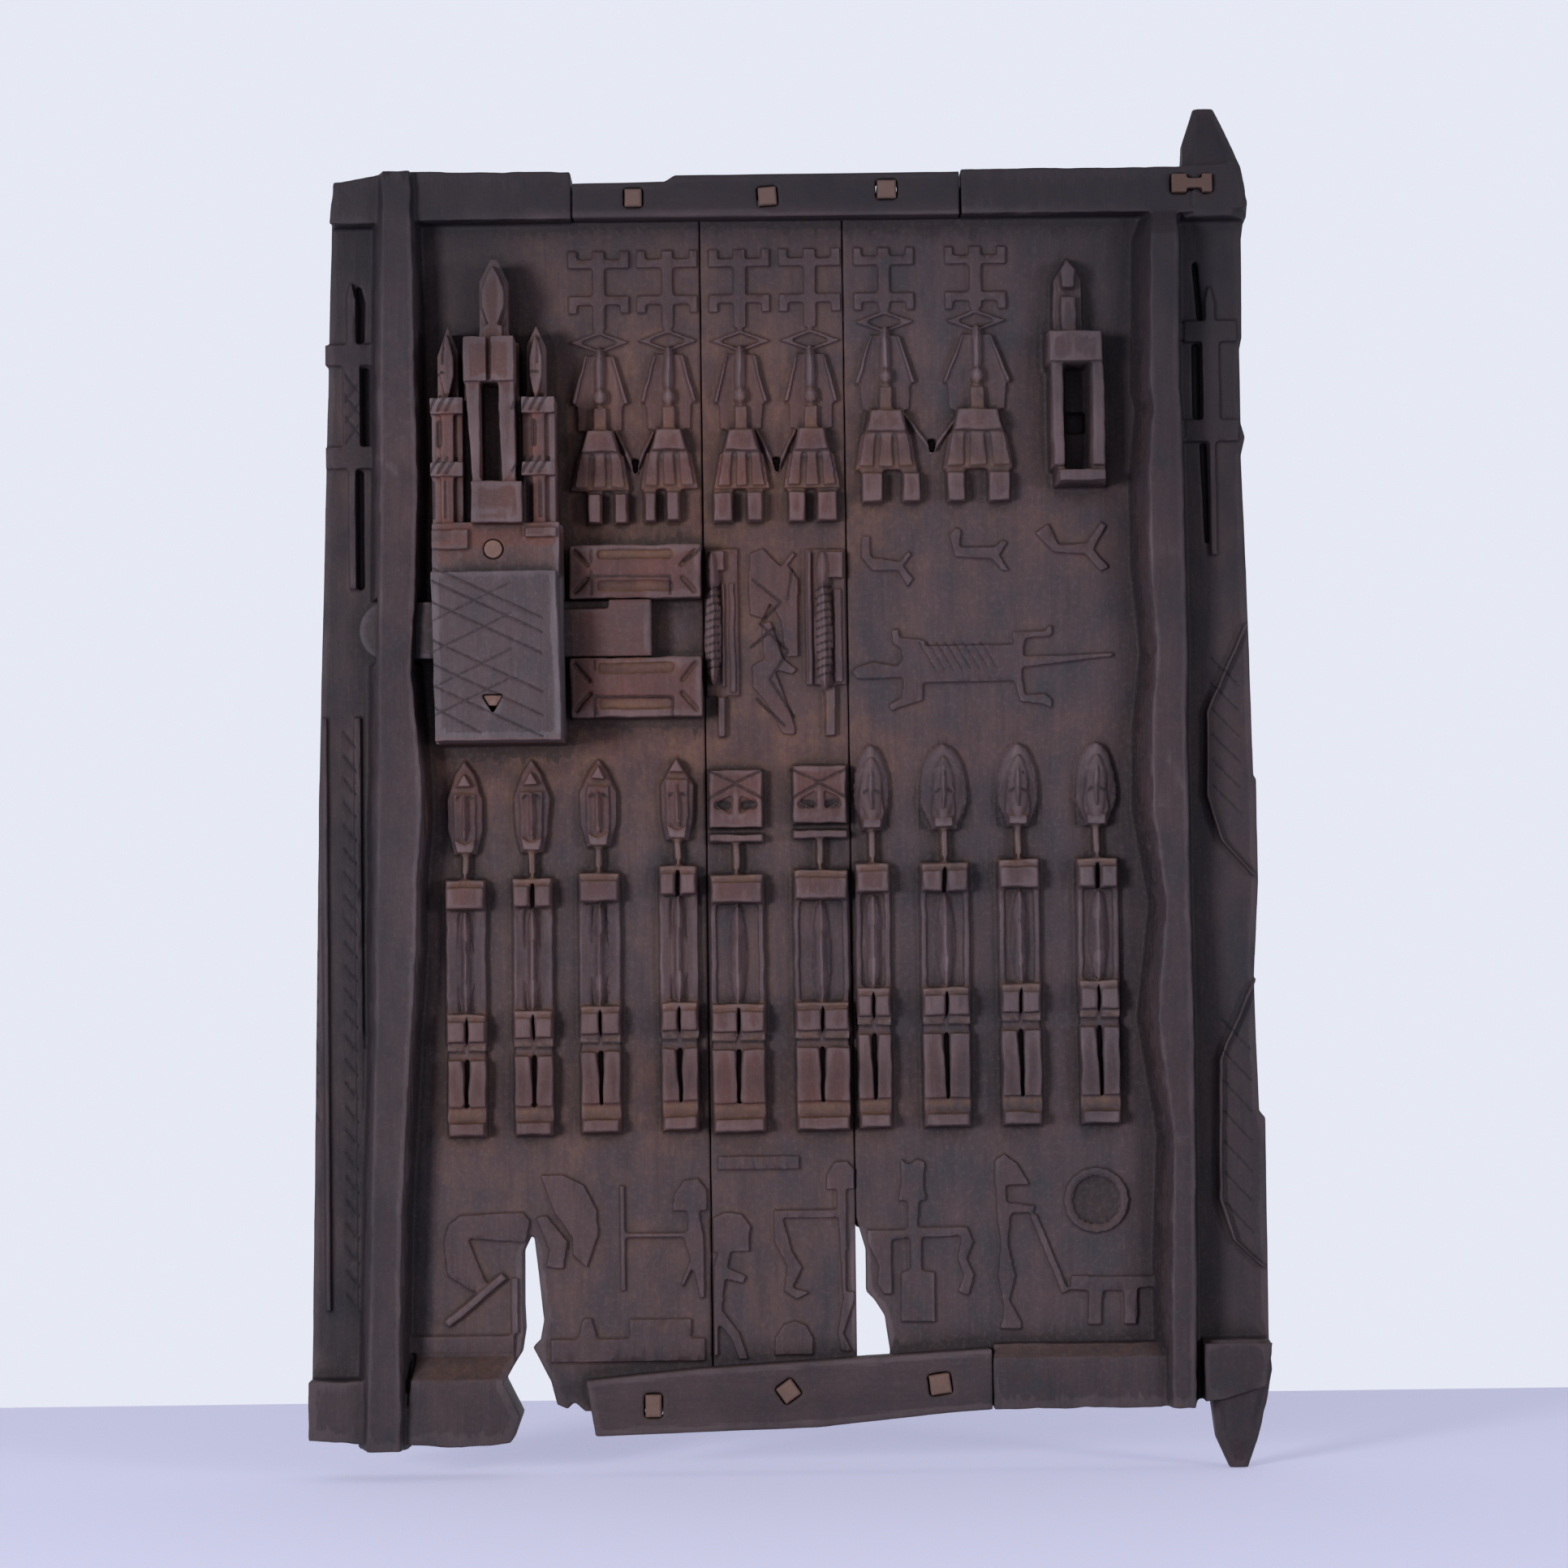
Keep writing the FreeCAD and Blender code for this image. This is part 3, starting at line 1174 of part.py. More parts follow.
def case_silhouette():
    """Everything that the case and its figures cover, as one slab behind them."""
    half = size("case_width") / 2
    low = -size("case_below_bolt")
    high = size("case_above_bolt") + size("case_recess_height")
    return [(-half, low), (half, low), (half, high), (24.9, high), (24.9, 96.5), (20.9, 98), (20.9, 120),
            (16.8, 129), (12.5, 120), (12.5, 100), (9.6, 97), (9.6, 121.5), (6.2, 121.5), (5, 127), (5, 148),
            (0.6, 157.6), (-2.4, 157.6), (-7.3, 148), (-7.3, 127), (-8, 121.5), (-14, 121.5), (-14, 97),
            (-16.2, 97), (-16.2, 118), (-20.8, 129), (-25.3, 116), (-25.3, 97), (-half, 96.5)]


def make_lock_case():
    body = new_body("lock_case", CASE_X, PANEL_FRONT, "Sizes.bolt_level")
    half = size("case_width") / 2
    low = -size("case_below_bolt")
    top = size("case_above_bolt")
    high = top + size("case_recess_height")
    case_sketch(body, "case_base", [case_silhouette()], "case_base_front")
    plate = [(-half + 1.5, low), (half, low), (half - 2, top), (-half, top)]
    case_sketch(body, "case_plate", [plate], "case_front")
    case_sketch(body, "case_recess", [block(-half, half - 1, top - 1, high)], "case_recess_front")
    case_sketch(body, "case_feet", [block(-half, -11.7, 32, 40.4), block(12.2, half - 2, 36.8, 41)],
                "case_foot_front")
    sides = [block(-half, -14, high - 1, 96.5), block(11, 24.9, high - 1, 96.5)]
    case_sketch(body, "case_sides", sides, "case_side_front")
    ribs = [block(x - 2.8, x + 2.8, low_end, low_end + 21) for x in (-20.6, 18) for low_end in (42, 68.6)]
    case_sketch(body, "case_ribs", ribs, "case_rib_front")
    bands = [block(-half - 0.4, -13.6, 89.7, 96.7), block(10.8, 25.2, 89.7, 96.7),
             block(-half - 0.4, -13.6, 63.2, 69.2), block(10.8, 25.2, 63.2, 69.2)]
    case_sketch(body, "case_bands", bands, "case_band_front")
    heads = [lens(-20.8, 92, 129, 9.4), lens(16.8, 92, 129, 9)]
    pad(body, front_sketch(body, "case_heads", heads), "Sizes.case_side_head_front - Sizes.panel_thick", -3)
    case_sketch(body, "case_seat", [block(-10.2, 11.4, 42.4, 60)], "case_seat_front")
    shoulders = [block(-13.1, -3.2, 102.5, 121.5), block(-1.4, 8.6, 102.5, 121.5)]
    case_sketch(body, "case_shoulders", shoulders, "case_shoulder_front")
    arms = [[(-9.6, 59), (-5.6, 59), (-5.9, 103), (-12.5, 103)], [(3, 59), (8.6, 59), (8.4, 103), (1.1, 103)],
            block(-3.3, -1.3, 102.6, 121.4)]
    case_sketch(body, "case_arms", arms, "case_arm_front")
    face = front_sketch(body, "case_face", [lens(-1, 122, 156.7, 13.6)])
    pad(body, face, "Sizes.case_neck_front - Sizes.panel_thick", -3)
    case_sketch(body, "case_neck", [block(-5, 3, 116, 128)], "case_neck_front")
    hollow = front_sketch(body, "case_hollow", [block(-6.2, 1.6, 61.4, 102.4)], "Sizes.case_arm_front")
    pocket(body, hollow, "Sizes.case_arm_front - Sizes.case_hollow_floor")
    cut_bolt_channel(body)
    cut_tumbler_chambers(body)
    holes = lock_peg_outlines(size("lock_peg_gap"))
    pocket(body, front_sketch(body, "case_peg_holes", holes, "Sizes.case_front"))
    return body


def cut_bolt_channel(body):
    """Channel for the bolt across the back of the case."""
    half = size("bolt_height") / 2 + size("channel_slack")
    side = size("case_width") / 2 + 2
    sketch = front_sketch(body, "case_channel", [block(-side, side, -half, half)])
    pocket(body, sketch, "Sizes.bolt_back_gap + Sizes.bolt_thick + Sizes.bolt_front_gap", forwards=True)


def cut_tumbler_chambers(body):
    """Two upright chambers over the channel, open to the back, in which the tumblers ride."""
    low = size("bolt_height") / 2
    high = low + size("channel_slack") + size("tumbler_height") + size("tumbler_lift") + size("tumbler_gap")
    wide = size("tumbler_width") + 2 * size("tumbler_gap")
    outlines = []
    for side in ("left", "right"):
        x = size("case_from_seam") - size("tumbler_%s_from_seam" % side)
        outlines.append(block(x - wide / 2, x + wide / 2, low, high))
    sketch = front_sketch(body, "tumbler_chambers", outlines)
    pocket(body, sketch, "Sizes.bolt_back_gap + Sizes.tumbler_thick + Sizes.tumbler_gap", forwards=True)


def make_tumblers():
    """Wooden pins that drop into the bolt when it is shot."""
    for side in ("left", "right"):
        cell = "Sizes.tumbler_%s_from_seam" % side
        middle = "Sizes.bolt_level + Sizes.bolt_height / 2 + Sizes.tumbler_gap + Sizes.tumbler_height / 2"
        body = new_body("tumbler_" + side, "%s - %s" % (LEFT_SEAM, cell),
                        PANEL_FRONT + " - Sizes.bolt_back_gap", middle)
        sketch = centred_rectangle(body, "tumbler_%s_section" % side, "XZ_Plane", "Sizes.tumbler_width",
                                   "Sizes.tumbler_height")
        pad(body, sketch, "Sizes.tumbler_thick")


def bolt_outline(body):
    """Straight bar with a square end on the right and a rounded tip on the left."""
    half = size("bolt_height") / 2
    length = size("bolt_length")
    shoulder = size("bolt_tip_reach") - length
    sketch = new_sketch(body, "bolt_outline", "XZ_Plane")
    corners = [(shoulder, -half), (0, -half), (0, half), (shoulder, half)]
    for start, end in zip(corners, corners[1:]):
        sketch.addGeometry(Part.LineSegment(V(start[0], start[1], 0), V(end[0], end[1], 0)), False)
    sketch.addGeometry(Part.Arc(V(shoulder, half, 0), V(-length, 0, 0), V(shoulder, -half, 0)), False)
    return sketch


def make_lock_bolt():
    body = new_body("lock_bolt", LEFT_SEAM + " - Sizes.bolt_end_from_seam",
                    PANEL_FRONT + " - Sizes.bolt_back_gap", "Sizes.bolt_level")
    pad(body, bolt_outline(body), "Sizes.bolt_thick")
    half = size("bolt_height") / 2
    start = -size("bolt_rebate_start")
    rebate = block(start - size("bolt_rebate_length"), start, half - size("bolt_rebate_height"), half + 1)
    sketch = front_sketch(body, "bolt_rebate", [rebate], "Sizes.bolt_thick")
    pocket(body, sketch, "Sizes.bolt_rebate_depth")
    wide = size("tumbler_width") + 2 * size("socket_gap")
    floor = half - size("socket_depth")
    cuts = []
    for side in ("left", "right"):
        x = size("bolt_end_from_seam") + size("bolt_travel_shut") - size("tumbler_%s_from_seam" % side)
        cuts.append(block(x - wide / 2, x + wide / 2, floor - 0.5, half + 1))
    sockets = front_sketch(body, "tumbler_sockets", cuts)
    pocket(body, sockets, "Sizes.tumbler_thick + Sizes.socket_gap", forwards=True)
    keyway = [block(-size("keyway_length"), 1, floor - size("keyway_height"), floor)]
    sketch = front_sketch(body, "keyway", keyway)
    cut = pocket(body, sketch, "Sizes.keyway_depth", forwards=True)
    front = size("bolt_thick")
    soften(body, "bolt_worn_end", cut,
           lambda edge: all(v.Y < 0.01 - front and abs(v.X) < 0.01 for v in edge.Vertexes), "Sizes.bolt_edge")
    return body


def make_lock_pegs():
    """A round peg and a wedge-shaped peg that pin the case to the plank."""
    reach = "Sizes.case_recess_front - Sizes.peg_back + Sizes.peg_proud"
    body = new_body("upper_lock_peg", CASE_X + " + Sizes.upper_lock_peg_x", BACK + " - Sizes.peg_back",
                    "Sizes.bolt_level + Sizes.upper_lock_peg_rise")
    sketch = new_sketch(body, "upper_lock_peg_section", "XZ_Plane")
    sketch.addGeometry(Part.Circle(V(0, 0, 0), V(0, 0, 1), size("upper_lock_peg_radius")), False)
    sketch.addConstraint(Sketcher.Constraint("Coincident", 0, 3, -1, 1))
    index = sketch.addConstraint(Sketcher.Constraint("Radius", 0, size("upper_lock_peg_radius")))
    sketch.renameConstraint(index, "Radius")
    sketch.setExpression("Constraints.Radius", "Sizes.upper_lock_peg_radius")
    pad(body, sketch, reach)
    body = new_body("lower_lock_peg", CASE_X + " + Sizes.lower_lock_peg_x", BACK + " - Sizes.peg_back",
                    "Sizes.bolt_level - Sizes.lower_lock_peg_drop")
    width = size("lower_lock_hole_width")
    tall = size("lower_lock_peg_height")
    narrow = width * (1 - tall / size("lower_lock_hole_height"))
    wedge_section = [(-narrow / 2, -tall), (narrow / 2, -tall), (width / 2, 0), (-width / 2, 0)]
    sketch = front_sketch(body, "lower_lock_peg_section", [wedge_section])
    pad(body, sketch, "Sizes.case_front - Sizes.peg_back - Sizes.lower_lock_peg_sink")


def check_document():
    """Stop if any object failed or any piece isn't one sound solid."""
    doc.recompute()
    failed = [o.Name for o in doc.Objects if BAD_STATES & set(o.State)]
    if failed:
        raise RuntimeError("failed objects: " + ", ".join(failed))
    pieces = [o for o in doc.Objects if o.isDerivedFrom("PartDesign::Body")]
    for piece in pieces:
        shape = piece.Shape
        if shape.isNull() or not shape.isValid() or len(shape.Solids) != 1:
            raise RuntimeError("not one sound solid: " + piece.Label)
    return pieces


make_left_plank()
make_centre_plank()
make_right_plank()
make_top_batten()
make_bottom_batten()
make_pegs()
make_lock_case()
make_lock_bolt()
make_tumblers()
make_lock_pegs()
make_repair_key()

os.makedirs("parts", exist_ok=True)
for piece in check_document():
    piece.Shape.exportStep(os.path.join("parts", piece.Label + ".step"))
    print(piece.Label, len(piece.Shape.Faces), round(piece.Shape.Volume))
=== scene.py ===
import json
import math
from collections import namedtuple

import bmesh
import bpy
import numpy as np
from mathutils import Matrix, Vector


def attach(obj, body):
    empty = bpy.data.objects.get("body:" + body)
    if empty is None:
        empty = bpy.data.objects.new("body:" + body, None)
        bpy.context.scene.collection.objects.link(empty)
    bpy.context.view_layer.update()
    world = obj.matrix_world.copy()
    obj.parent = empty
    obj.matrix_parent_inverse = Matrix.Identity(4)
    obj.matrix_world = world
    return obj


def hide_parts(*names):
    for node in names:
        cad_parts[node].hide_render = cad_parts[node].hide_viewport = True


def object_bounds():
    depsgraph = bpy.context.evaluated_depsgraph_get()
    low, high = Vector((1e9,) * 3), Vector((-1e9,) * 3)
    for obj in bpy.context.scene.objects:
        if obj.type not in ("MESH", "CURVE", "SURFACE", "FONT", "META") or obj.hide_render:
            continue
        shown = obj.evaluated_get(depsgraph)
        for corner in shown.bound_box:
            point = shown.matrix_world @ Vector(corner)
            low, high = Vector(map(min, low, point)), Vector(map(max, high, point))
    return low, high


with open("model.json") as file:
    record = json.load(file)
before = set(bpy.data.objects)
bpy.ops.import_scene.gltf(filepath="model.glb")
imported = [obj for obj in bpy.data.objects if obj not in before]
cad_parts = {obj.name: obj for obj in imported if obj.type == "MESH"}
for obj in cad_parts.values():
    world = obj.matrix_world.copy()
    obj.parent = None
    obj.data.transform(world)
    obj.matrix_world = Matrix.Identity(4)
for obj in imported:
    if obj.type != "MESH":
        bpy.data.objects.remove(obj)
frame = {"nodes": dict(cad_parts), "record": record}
CAD_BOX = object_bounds()

# Old carved granary door, seen square on. Metres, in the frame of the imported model: the front
# faces -Y and the door turns about the Z axis.

MM = 0.001
# Back and front of the planks, and the left seam, from which places across the door are counted
BACK_Y = 15 * MM
PANEL_Y = -2 * MM
SEAM = -220.5 * MM
# Where the figured field between the two raised bars begins and ends, in mm from the seam
LEFT_BAR = -119
RIGHT_BAR = 182


# Noise and blurring on arrays

def value_noise(points, size, seed):
    """Smooth noise from -1 to 1; size is the distance between bumps along each axis."""
    cells = 24
    rng = np.random.default_rng(seed)
    lattice = rng.uniform(-1, 1, (cells, cells, cells))
    scaled = points / np.asarray(size)
    base = np.floor(scaled).astype(int)
    part = scaled - base
    part = part * part * (3 - 2 * part)
    total = np.zeros(len(points))
    for dx in (0, 1):
        for dy in (0, 1):
            for dz in (0, 1):
                weight = (np.where(dx, part[:, 0], 1 - part[:, 0])
                          * np.where(dy, part[:, 1], 1 - part[:, 1])
                          * np.where(dz, part[:, 2], 1 - part[:, 2]))
                corner = (base + (dx, dy, dz)) % cells
                total += weight * lattice[corner[:, 0], corner[:, 1], corner[:, 2]]
    return total


def blurred(grid, radius):
    """Box blur, run twice, over squares that reach so many cells each way."""
    for _ in range(2):
        for axis in (0, 1):
            margins = [(radius + 1, radius) if a == axis else (0, 0) for a in (0, 1)]
            padded = np.pad(grid, margins, mode="edge")
            sums = np.cumsum(padded, axis=axis)
            width = 2 * radius + 1
            if axis == 0:
                grid = (sums[width:] - sums[:-width]) / width
            else:
                grid = (sums[:, width:] - sums[:, :-width]) / width
    return grid


# Fine meshes of the wooden pieces

def welded(node):
    """Copy of a node's mesh with its shared corners joined."""
    mesh = frame["nodes"][node].data.copy()
    work = bmesh.new()
    work.from_mesh(mesh)
    bmesh.ops.remove_doubles(work, verts=work.verts, dist=1e-6)
    work.to_mesh(mesh)
    work.free()
    return mesh


def applied(mesh, kind, settings):
    """The mesh after one modifier."""
    carrier = bpy.data.objects.new("carrier", mesh)
    bpy.context.scene.collection.objects.link(carrier)
    modifier = carrier.modifiers.new("work", kind)
    for key, value in settings.items():
        setattr(modifier, key, value)
    graph = bpy.context.evaluated_depsgraph_get()
    result = bpy.data.meshes.new_from_object(carrier.evaluated_get(graph))
    bpy.data.objects.remove(carrier)
    return result


def coordinates(mesh):
    flat = np.empty(len(mesh.vertices) * 3)
    mesh.vertices.foreach_get("co", flat)
    return flat.reshape(-1, 3)


def normals(mesh):
    flat = np.empty(len(mesh.vertices) * 3, dtype=np.float32)
    mesh.vertex_normals.foreach_get("vector", flat)
    return flat.reshape(-1, 3).astype(float)


def set_coordinates(mesh, points):
    mesh.vertices.foreach_set("co", points.astype(np.float32).ravel())
    mesh.update()


def dense_mesh(node, wood):
    """Even small faces over a node, with its edges softened by wear."""
    mesh = applied(welded(node), "REMESH", {"mode": "VOXEL", "voxel_size": wood.voxel * MM})
    return applied(mesh, "SMOOTH", {"iterations": wood.turns, "factor": 0.5})


# How a wooden node is made: voxel in mm, most triangles, smoothing turns, depth of tool marks in
# mm, direction of the grain, material slot
Wood = namedtuple("Wood", "voxel triangles turns depth grain slot")
BATTEN_PEG = Wood(0.5, 6000, 2, 0.2, "Y", "peg_wood")
TUMBLER = Wood(0.6, 6000, 2, 0.1, "Z", "peg_wood")
PIECES = {
    "left_plank": Wood(0.7, 195000, 2, 0.3, "Z", "plank_wood"),
    "centre_plank": Wood(0.6, 150000, 2, 0.3, "Z", "plank_wood"),
    "right_plank": Wood(0.7, 195000, 2, 0.3, "Z", "plank_wood"),
    "top_batten": Wood(0.8, 30000, 2, 0.3, "X", "plank_wood"),
    "bottom_batten": Wood(0.8, 40000, 2, 0.3, "X", "plank_wood"),
    "lock_case": Wood(0.55, 180000, 2, 0.25, "Z", "lock_wood"),
    "lock_bolt": Wood(0.7, 40000, 2, 0.2, "X", "lock_wood"),
    "top_peg_left": BATTEN_PEG,
    "top_peg_middle": BATTEN_PEG,
    "top_peg_right": BATTEN_PEG,
    "bottom_peg_left": BATTEN_PEG,
    "bottom_peg_middle": BATTEN_PEG,
    "bottom_peg_right": BATTEN_PEG,
    "tumbler_left": TUMBLER,
    "tumbler_right": TUMBLER,
    "upper_lock_peg": Wood(0.5, 8000, 3, 0.15, "Y", "peg_wood"),
    "lower_lock_peg": Wood(0.5, 8000, 2, 0.15, "Y", "peg_wood"),
    "repair_key": Wood(0.4, 12000, 2, 0.12, "X", "repair_wood"),
}

dense = {node: dense_mesh(node, wood) for node, wood in PIECES.items()}


# A map of how far forward the door's front stands, to tell hollows from proud edges

CELL = 1 * MM
MAP_MARGIN = 4 * CELL
MAP_X = CAD_BOX[0][0] - MAP_MARGIN
MAP_Z = CAD_BOX[0][2] - MAP_MARGIN
MAP_SHAPE = (int((CAD_BOX[1][0] - MAP_X) / CELL) + 5, int((CAD_BOX[1][2] - MAP_Z) / CELL) + 5)


def cells_of(points):
    return (np.clip(((points[:, 0] - MAP_X) / CELL).astype(int), 0, MAP_SHAPE[0] - 1),
            np.clip(((points[:, 2] - MAP_Z) / CELL).astype(int), 0, MAP_SHAPE[1] - 1))


def front_map():
    front = np.full(MAP_SHAPE, BACK_Y)
    for mesh in dense.values():
        points = coordinates(mesh)
        np.minimum.at(front, cells_of(points), points[:, 1])
    return front


FRONT = front_map()
NEAR = blurred(FRONT, radius=2)
WIDE = blurred(FRONT, radius=7)


def hollow(points):
    """How deep a point lies below its surroundings, in mm: near ones and wide ones."""
    at = cells_of(points)
    return (points[:, 1] - NEAR[at]) / MM, (points[:, 1] - WIDE[at]) / MM


# Fine maps of the front, in millimetres from the left seam and up from the bottom pivot: rounded
# forms with how far forward they stand, knife cuts, rubbed places together with painted highlights, and
# lying dust

FINE = 0.25 * MM
SPARE_CELLS = 20
FINE_SHAPE = (int((CAD_BOX[1][0] - MAP_X) / FINE) + SPARE_CELLS,
              int((CAD_BOX[1][2] - MAP_Z) / FINE) + SPARE_CELLS)
MAP_NAMES = ("forms", "cuts", "rubs_and_highlights", "dust")


def blank_maps():
    return {name: np.zeros(FINE_SHAPE, dtype=np.float32) for name in MAP_NAMES}


def window(x0, x1, z0, z1):
    """Slices of a fine map round a rectangle, and the places of their cells in mm."""
    left = max(int(((SEAM + x0 * MM) - MAP_X) / FINE), 0)
    right = int(((SEAM + x1 * MM) - MAP_X) / FINE) + 2
    low = max(int((z0 * MM - MAP_Z) / FINE), 0)
    high = int((z1 * MM - MAP_Z) / FINE) + 2
    x = ((np.arange(left, right) + 0.5) * FINE + MAP_X - SEAM) / MM
    z = ((np.arange(low, high) + 0.5) * FINE + MAP_Z) / MM
    return (slice(left, right), slice(low, high)), x[:, None], z[None, :]


def draw(picture, lines, width, strength):
    """Straight strokes of a width in mm; each is (x, z, x, z)."""
    half = width / 2
    for x0, z0, x1, z1 in lines:
        cells, x, z = window(min(x0, x1) - half, max(x0, x1) + half,
                             min(z0, z1) - half, max(z0, z1) + half)
        run = np.array((x1 - x0, z1 - z0))
        share = np.clip(((x - x0) * run[0] + (z - z0) * run[1]) / (run @ run), 0, 1)
        away = np.hypot(x - x0 - share * run[0], z - z0 - share * run[1])
        value = strength * np.clip(1.3 - away / half, 0, 1)
        wide, tall = picture[cells].shape
        picture[cells] = np.maximum(picture[cells], value[:wide, :tall])


def fill(picture, x0, x1, z0, z1, value):
    """Rectangle of one value."""
    cells, x, z = window(x0, x1, z0, z1)
    inside = (x > x0) & (x < x1) & (z > z0) & (z < z1)
    picture[cells] = np.where(inside, np.maximum(picture[cells], value), picture[cells])


def leaf(picture, x_middle, low, high, half, base, crest, keel=True):
    """Upright pointed oval that rises from its base to a keel or a round crest."""
    cells, x, z = window(x_middle - half, x_middle + half, low, high)
    share = np.clip((z - low) / (high - low), 0.001, 0.999)
    part = abs(x - x_middle) / (half * np.sqrt(4 * share * (1 - share)))
    rise = 1 - part if keel else 1 - part * part
    value = np.where(part < 1, base + (crest - base) * rise, 0)
    picture[cells] = np.maximum(picture[cells], value)


def helmet(picture, x_middle, low, widest, top, half, base, crest):
    """Rounded hood: drawn in below its widest level, an arch above."""
    cells, x, z = window(x_middle - half, x_middle + half, low, top)
    arch = np.clip((z - widest) / (top - widest), 0, 0.999)
    taper = 0.5 + 0.5 * np.clip((z - low) / (widest - low), 0, 1)
    part = abs(x - x_middle) / (half * taper * np.sqrt(1 - arch * arch))
    value = np.where(part < 1, base + (crest - base) * (1 - part * part), 0) * (z > low)
    picture[cells] = np.maximum(picture[cells], value)


def hatch(left, right, top, bottom, step, drop):
    """Slanting strokes across a strip, one below the other."""
    return [(left, z, right, z - drop) for z in np.arange(top, bottom, -step)]


def slanting(left, right, levels, rise):
    """Strokes from side to side of a field, each from a level of its own."""
    return [(left, z, right, z + rise) for z in levels]


# Each figure of the long row: middle, width, lift of the hips, lift of the shoulders, head
ROW = (
    (-103, 18.5, 0, 0, "cap"),
    (-74.5, 18.5, 1.5, 0.5, "cap"),
    (-46, 19, 3, 2.5, "cap"),
    (-12.3, 17.5, 4, 5, "cap"),
    (12.6, 24.4, 3, 1, "slab"),
    (48.4, 24.6, 3.5, 2.5, "slab"),
    (70.6, 16, 9, 5, "hood"),
    (101.4, 22, 9, 5, "hood"),
    (133.1, 18.8, 10, 6, "hood"),
    (166.6, 18.8, 11, 6, "hood"),
)
# Levels of the long row before each figure's own lifts
FEET_TOP = 151.5
LEG_FOOT = 158
HIPS = 183
HIPS_TOP = 194.5
SHOULDERS = 240
SHOULDERS_TOP = 251.5
HOOD_FOOT = 271
HOOD_WIDEST = 284
HOOD_TOP = 309
EYES = 289.5
# Each dancer: middle and lift
DANCERS = ((-43.6, 0), (-14, 0), (16.8, 0), (47, 0), (79.2, 7.5), (118.6, 7.5))
# The ring on the right panel: middle and radius of its opening
RING_X, RING_Z = 164.1, 113.9
RING_OPENING = 10.5


def row_body(maps, x, half, hip, rise, body):
    """Keeled body, hem under the hips, and dust on the upper edges and round the neck."""
    leaf(maps["forms"], x, HIPS_TOP + hip + 1, SHOULDERS + rise, body, 5, 9.6)
    # Painted highlight along the keel of the body
    draw(maps["rubs_and_highlights"], [(x, 204 + hip, x, 222 + hip)], 1.8, 0.8)
    for side in (-1, 1):
        near, far = sorted((x + side * 1.1, x + side * (half - 0.9)))
        fill(maps["forms"], near, far, HIPS - 2.6 + hip, HIPS + 1 + hip, 7.6)
        draw(maps["cuts"], [(near, HIPS - 2.8 + hip, far, HIPS - 3 + hip)], 1.2, 0.6)
        draw(maps["dust"], [(near + 1, HIPS - 1 + hip, far - 1, HIPS - 1 + hip)], 2.6, 0.6)
    for level in (FEET_TOP + 3 + rise / 3, HIPS_TOP + hip + 1.2, SHOULDERS_TOP + rise + 1.2):
        draw(maps["dust"], [(x - half + 1, level, x + half - 1, level)], 3.4, 0.8)
    draw(maps["dust"], [(x, SHOULDERS_TOP + rise + 2, x, SHOULDERS_TOP + rise + 12)], 9, 0.6)


def row_head(maps, x, half, rise, head):
    """Face of one figure: a hood with a raised mask, a cap over a nose, or a slab with knife lines."""
    if head == "hood":
        low, widest = HOOD_FOOT + 1 + rise / 2, HOOD_WIDEST + rise / 2
        helmet(maps["forms"], x, low, widest, HOOD_TOP, half * 0.95, 4.8, 8.2)
        leaf(maps["forms"], x, 270 + rise, 304, 4.4, 8.6, 10.2, keel=False)
        leaf(maps["forms"], x, 276 + rise, 300, 1.8, 9.5, 12.5)
        # Painted highlights on the nose ridge, the chin and the brow
        draw(maps["rubs_and_highlights"], [(x, 282 + rise, x, 299), (x - 3, 270 + rise, x + 3, 270 + rise)], 2.2, 0.9)
        draw(maps["rubs_and_highlights"], [(x - 3.5, 298, x + 3.5, 298)], 2.4, 0.7)
    if head == "cap":
        leaf(maps["forms"], x, 270 + rise, 290, 1.5, 9, 12)
        # Painted highlight along the lower edge of the cap
        draw(maps["rubs_and_highlights"], [(x - 3, 267 + rise, x + 3, 267 + rise)], 3, 0.6)
    if head == "slab":
        draw(maps["cuts"], [(x - 12, 286.5, x, 293), (x, 293, x + 12, 286.5)], 1.2, 0.8)
        draw(maps["cuts"], [(x - 12, 299, x, 293.5), (x, 293.5, x + 12, 299)], 1.2, 0.8)
        draw(maps["cuts"], [(x - 7.5, 284, x - 4, 284), (x + 4, 284, x + 7.5, 284)], 3.6, 1.2)
        # Painted highlights on the nose and along the lower edge of the slab
        draw(maps["rubs_and_highlights"], [(x, 279, x, 290), (x - 11, 279, x + 11, 279)], 1.6, 0.7)
    else:
        for side in (-1, 1):
            draw(maps["cuts"], [(x + side * 1.9, EYES, x + side * 3.4, EYES - 1)], 1.2, 0.8)


def long_row(maps):
    """The ten standing figures; those with caps have broad flat arms beside the body."""
    for x, wide, hip, rise, head in ROW:
        half = wide / 2
        body = 3.1 if head == "cap" else 4.2
        row_body(maps, x, half, hip, rise, body)
        row_head(maps, x, half, rise, head)
        if head == "cap":
            for side in (-1, 1):
                near, far = sorted((x + side * (body + 0.5), x + side * (half - 0.8)))
                fill(maps["forms"], near, far, HIPS_TOP + hip, SHOULDERS + rise, 5.7)


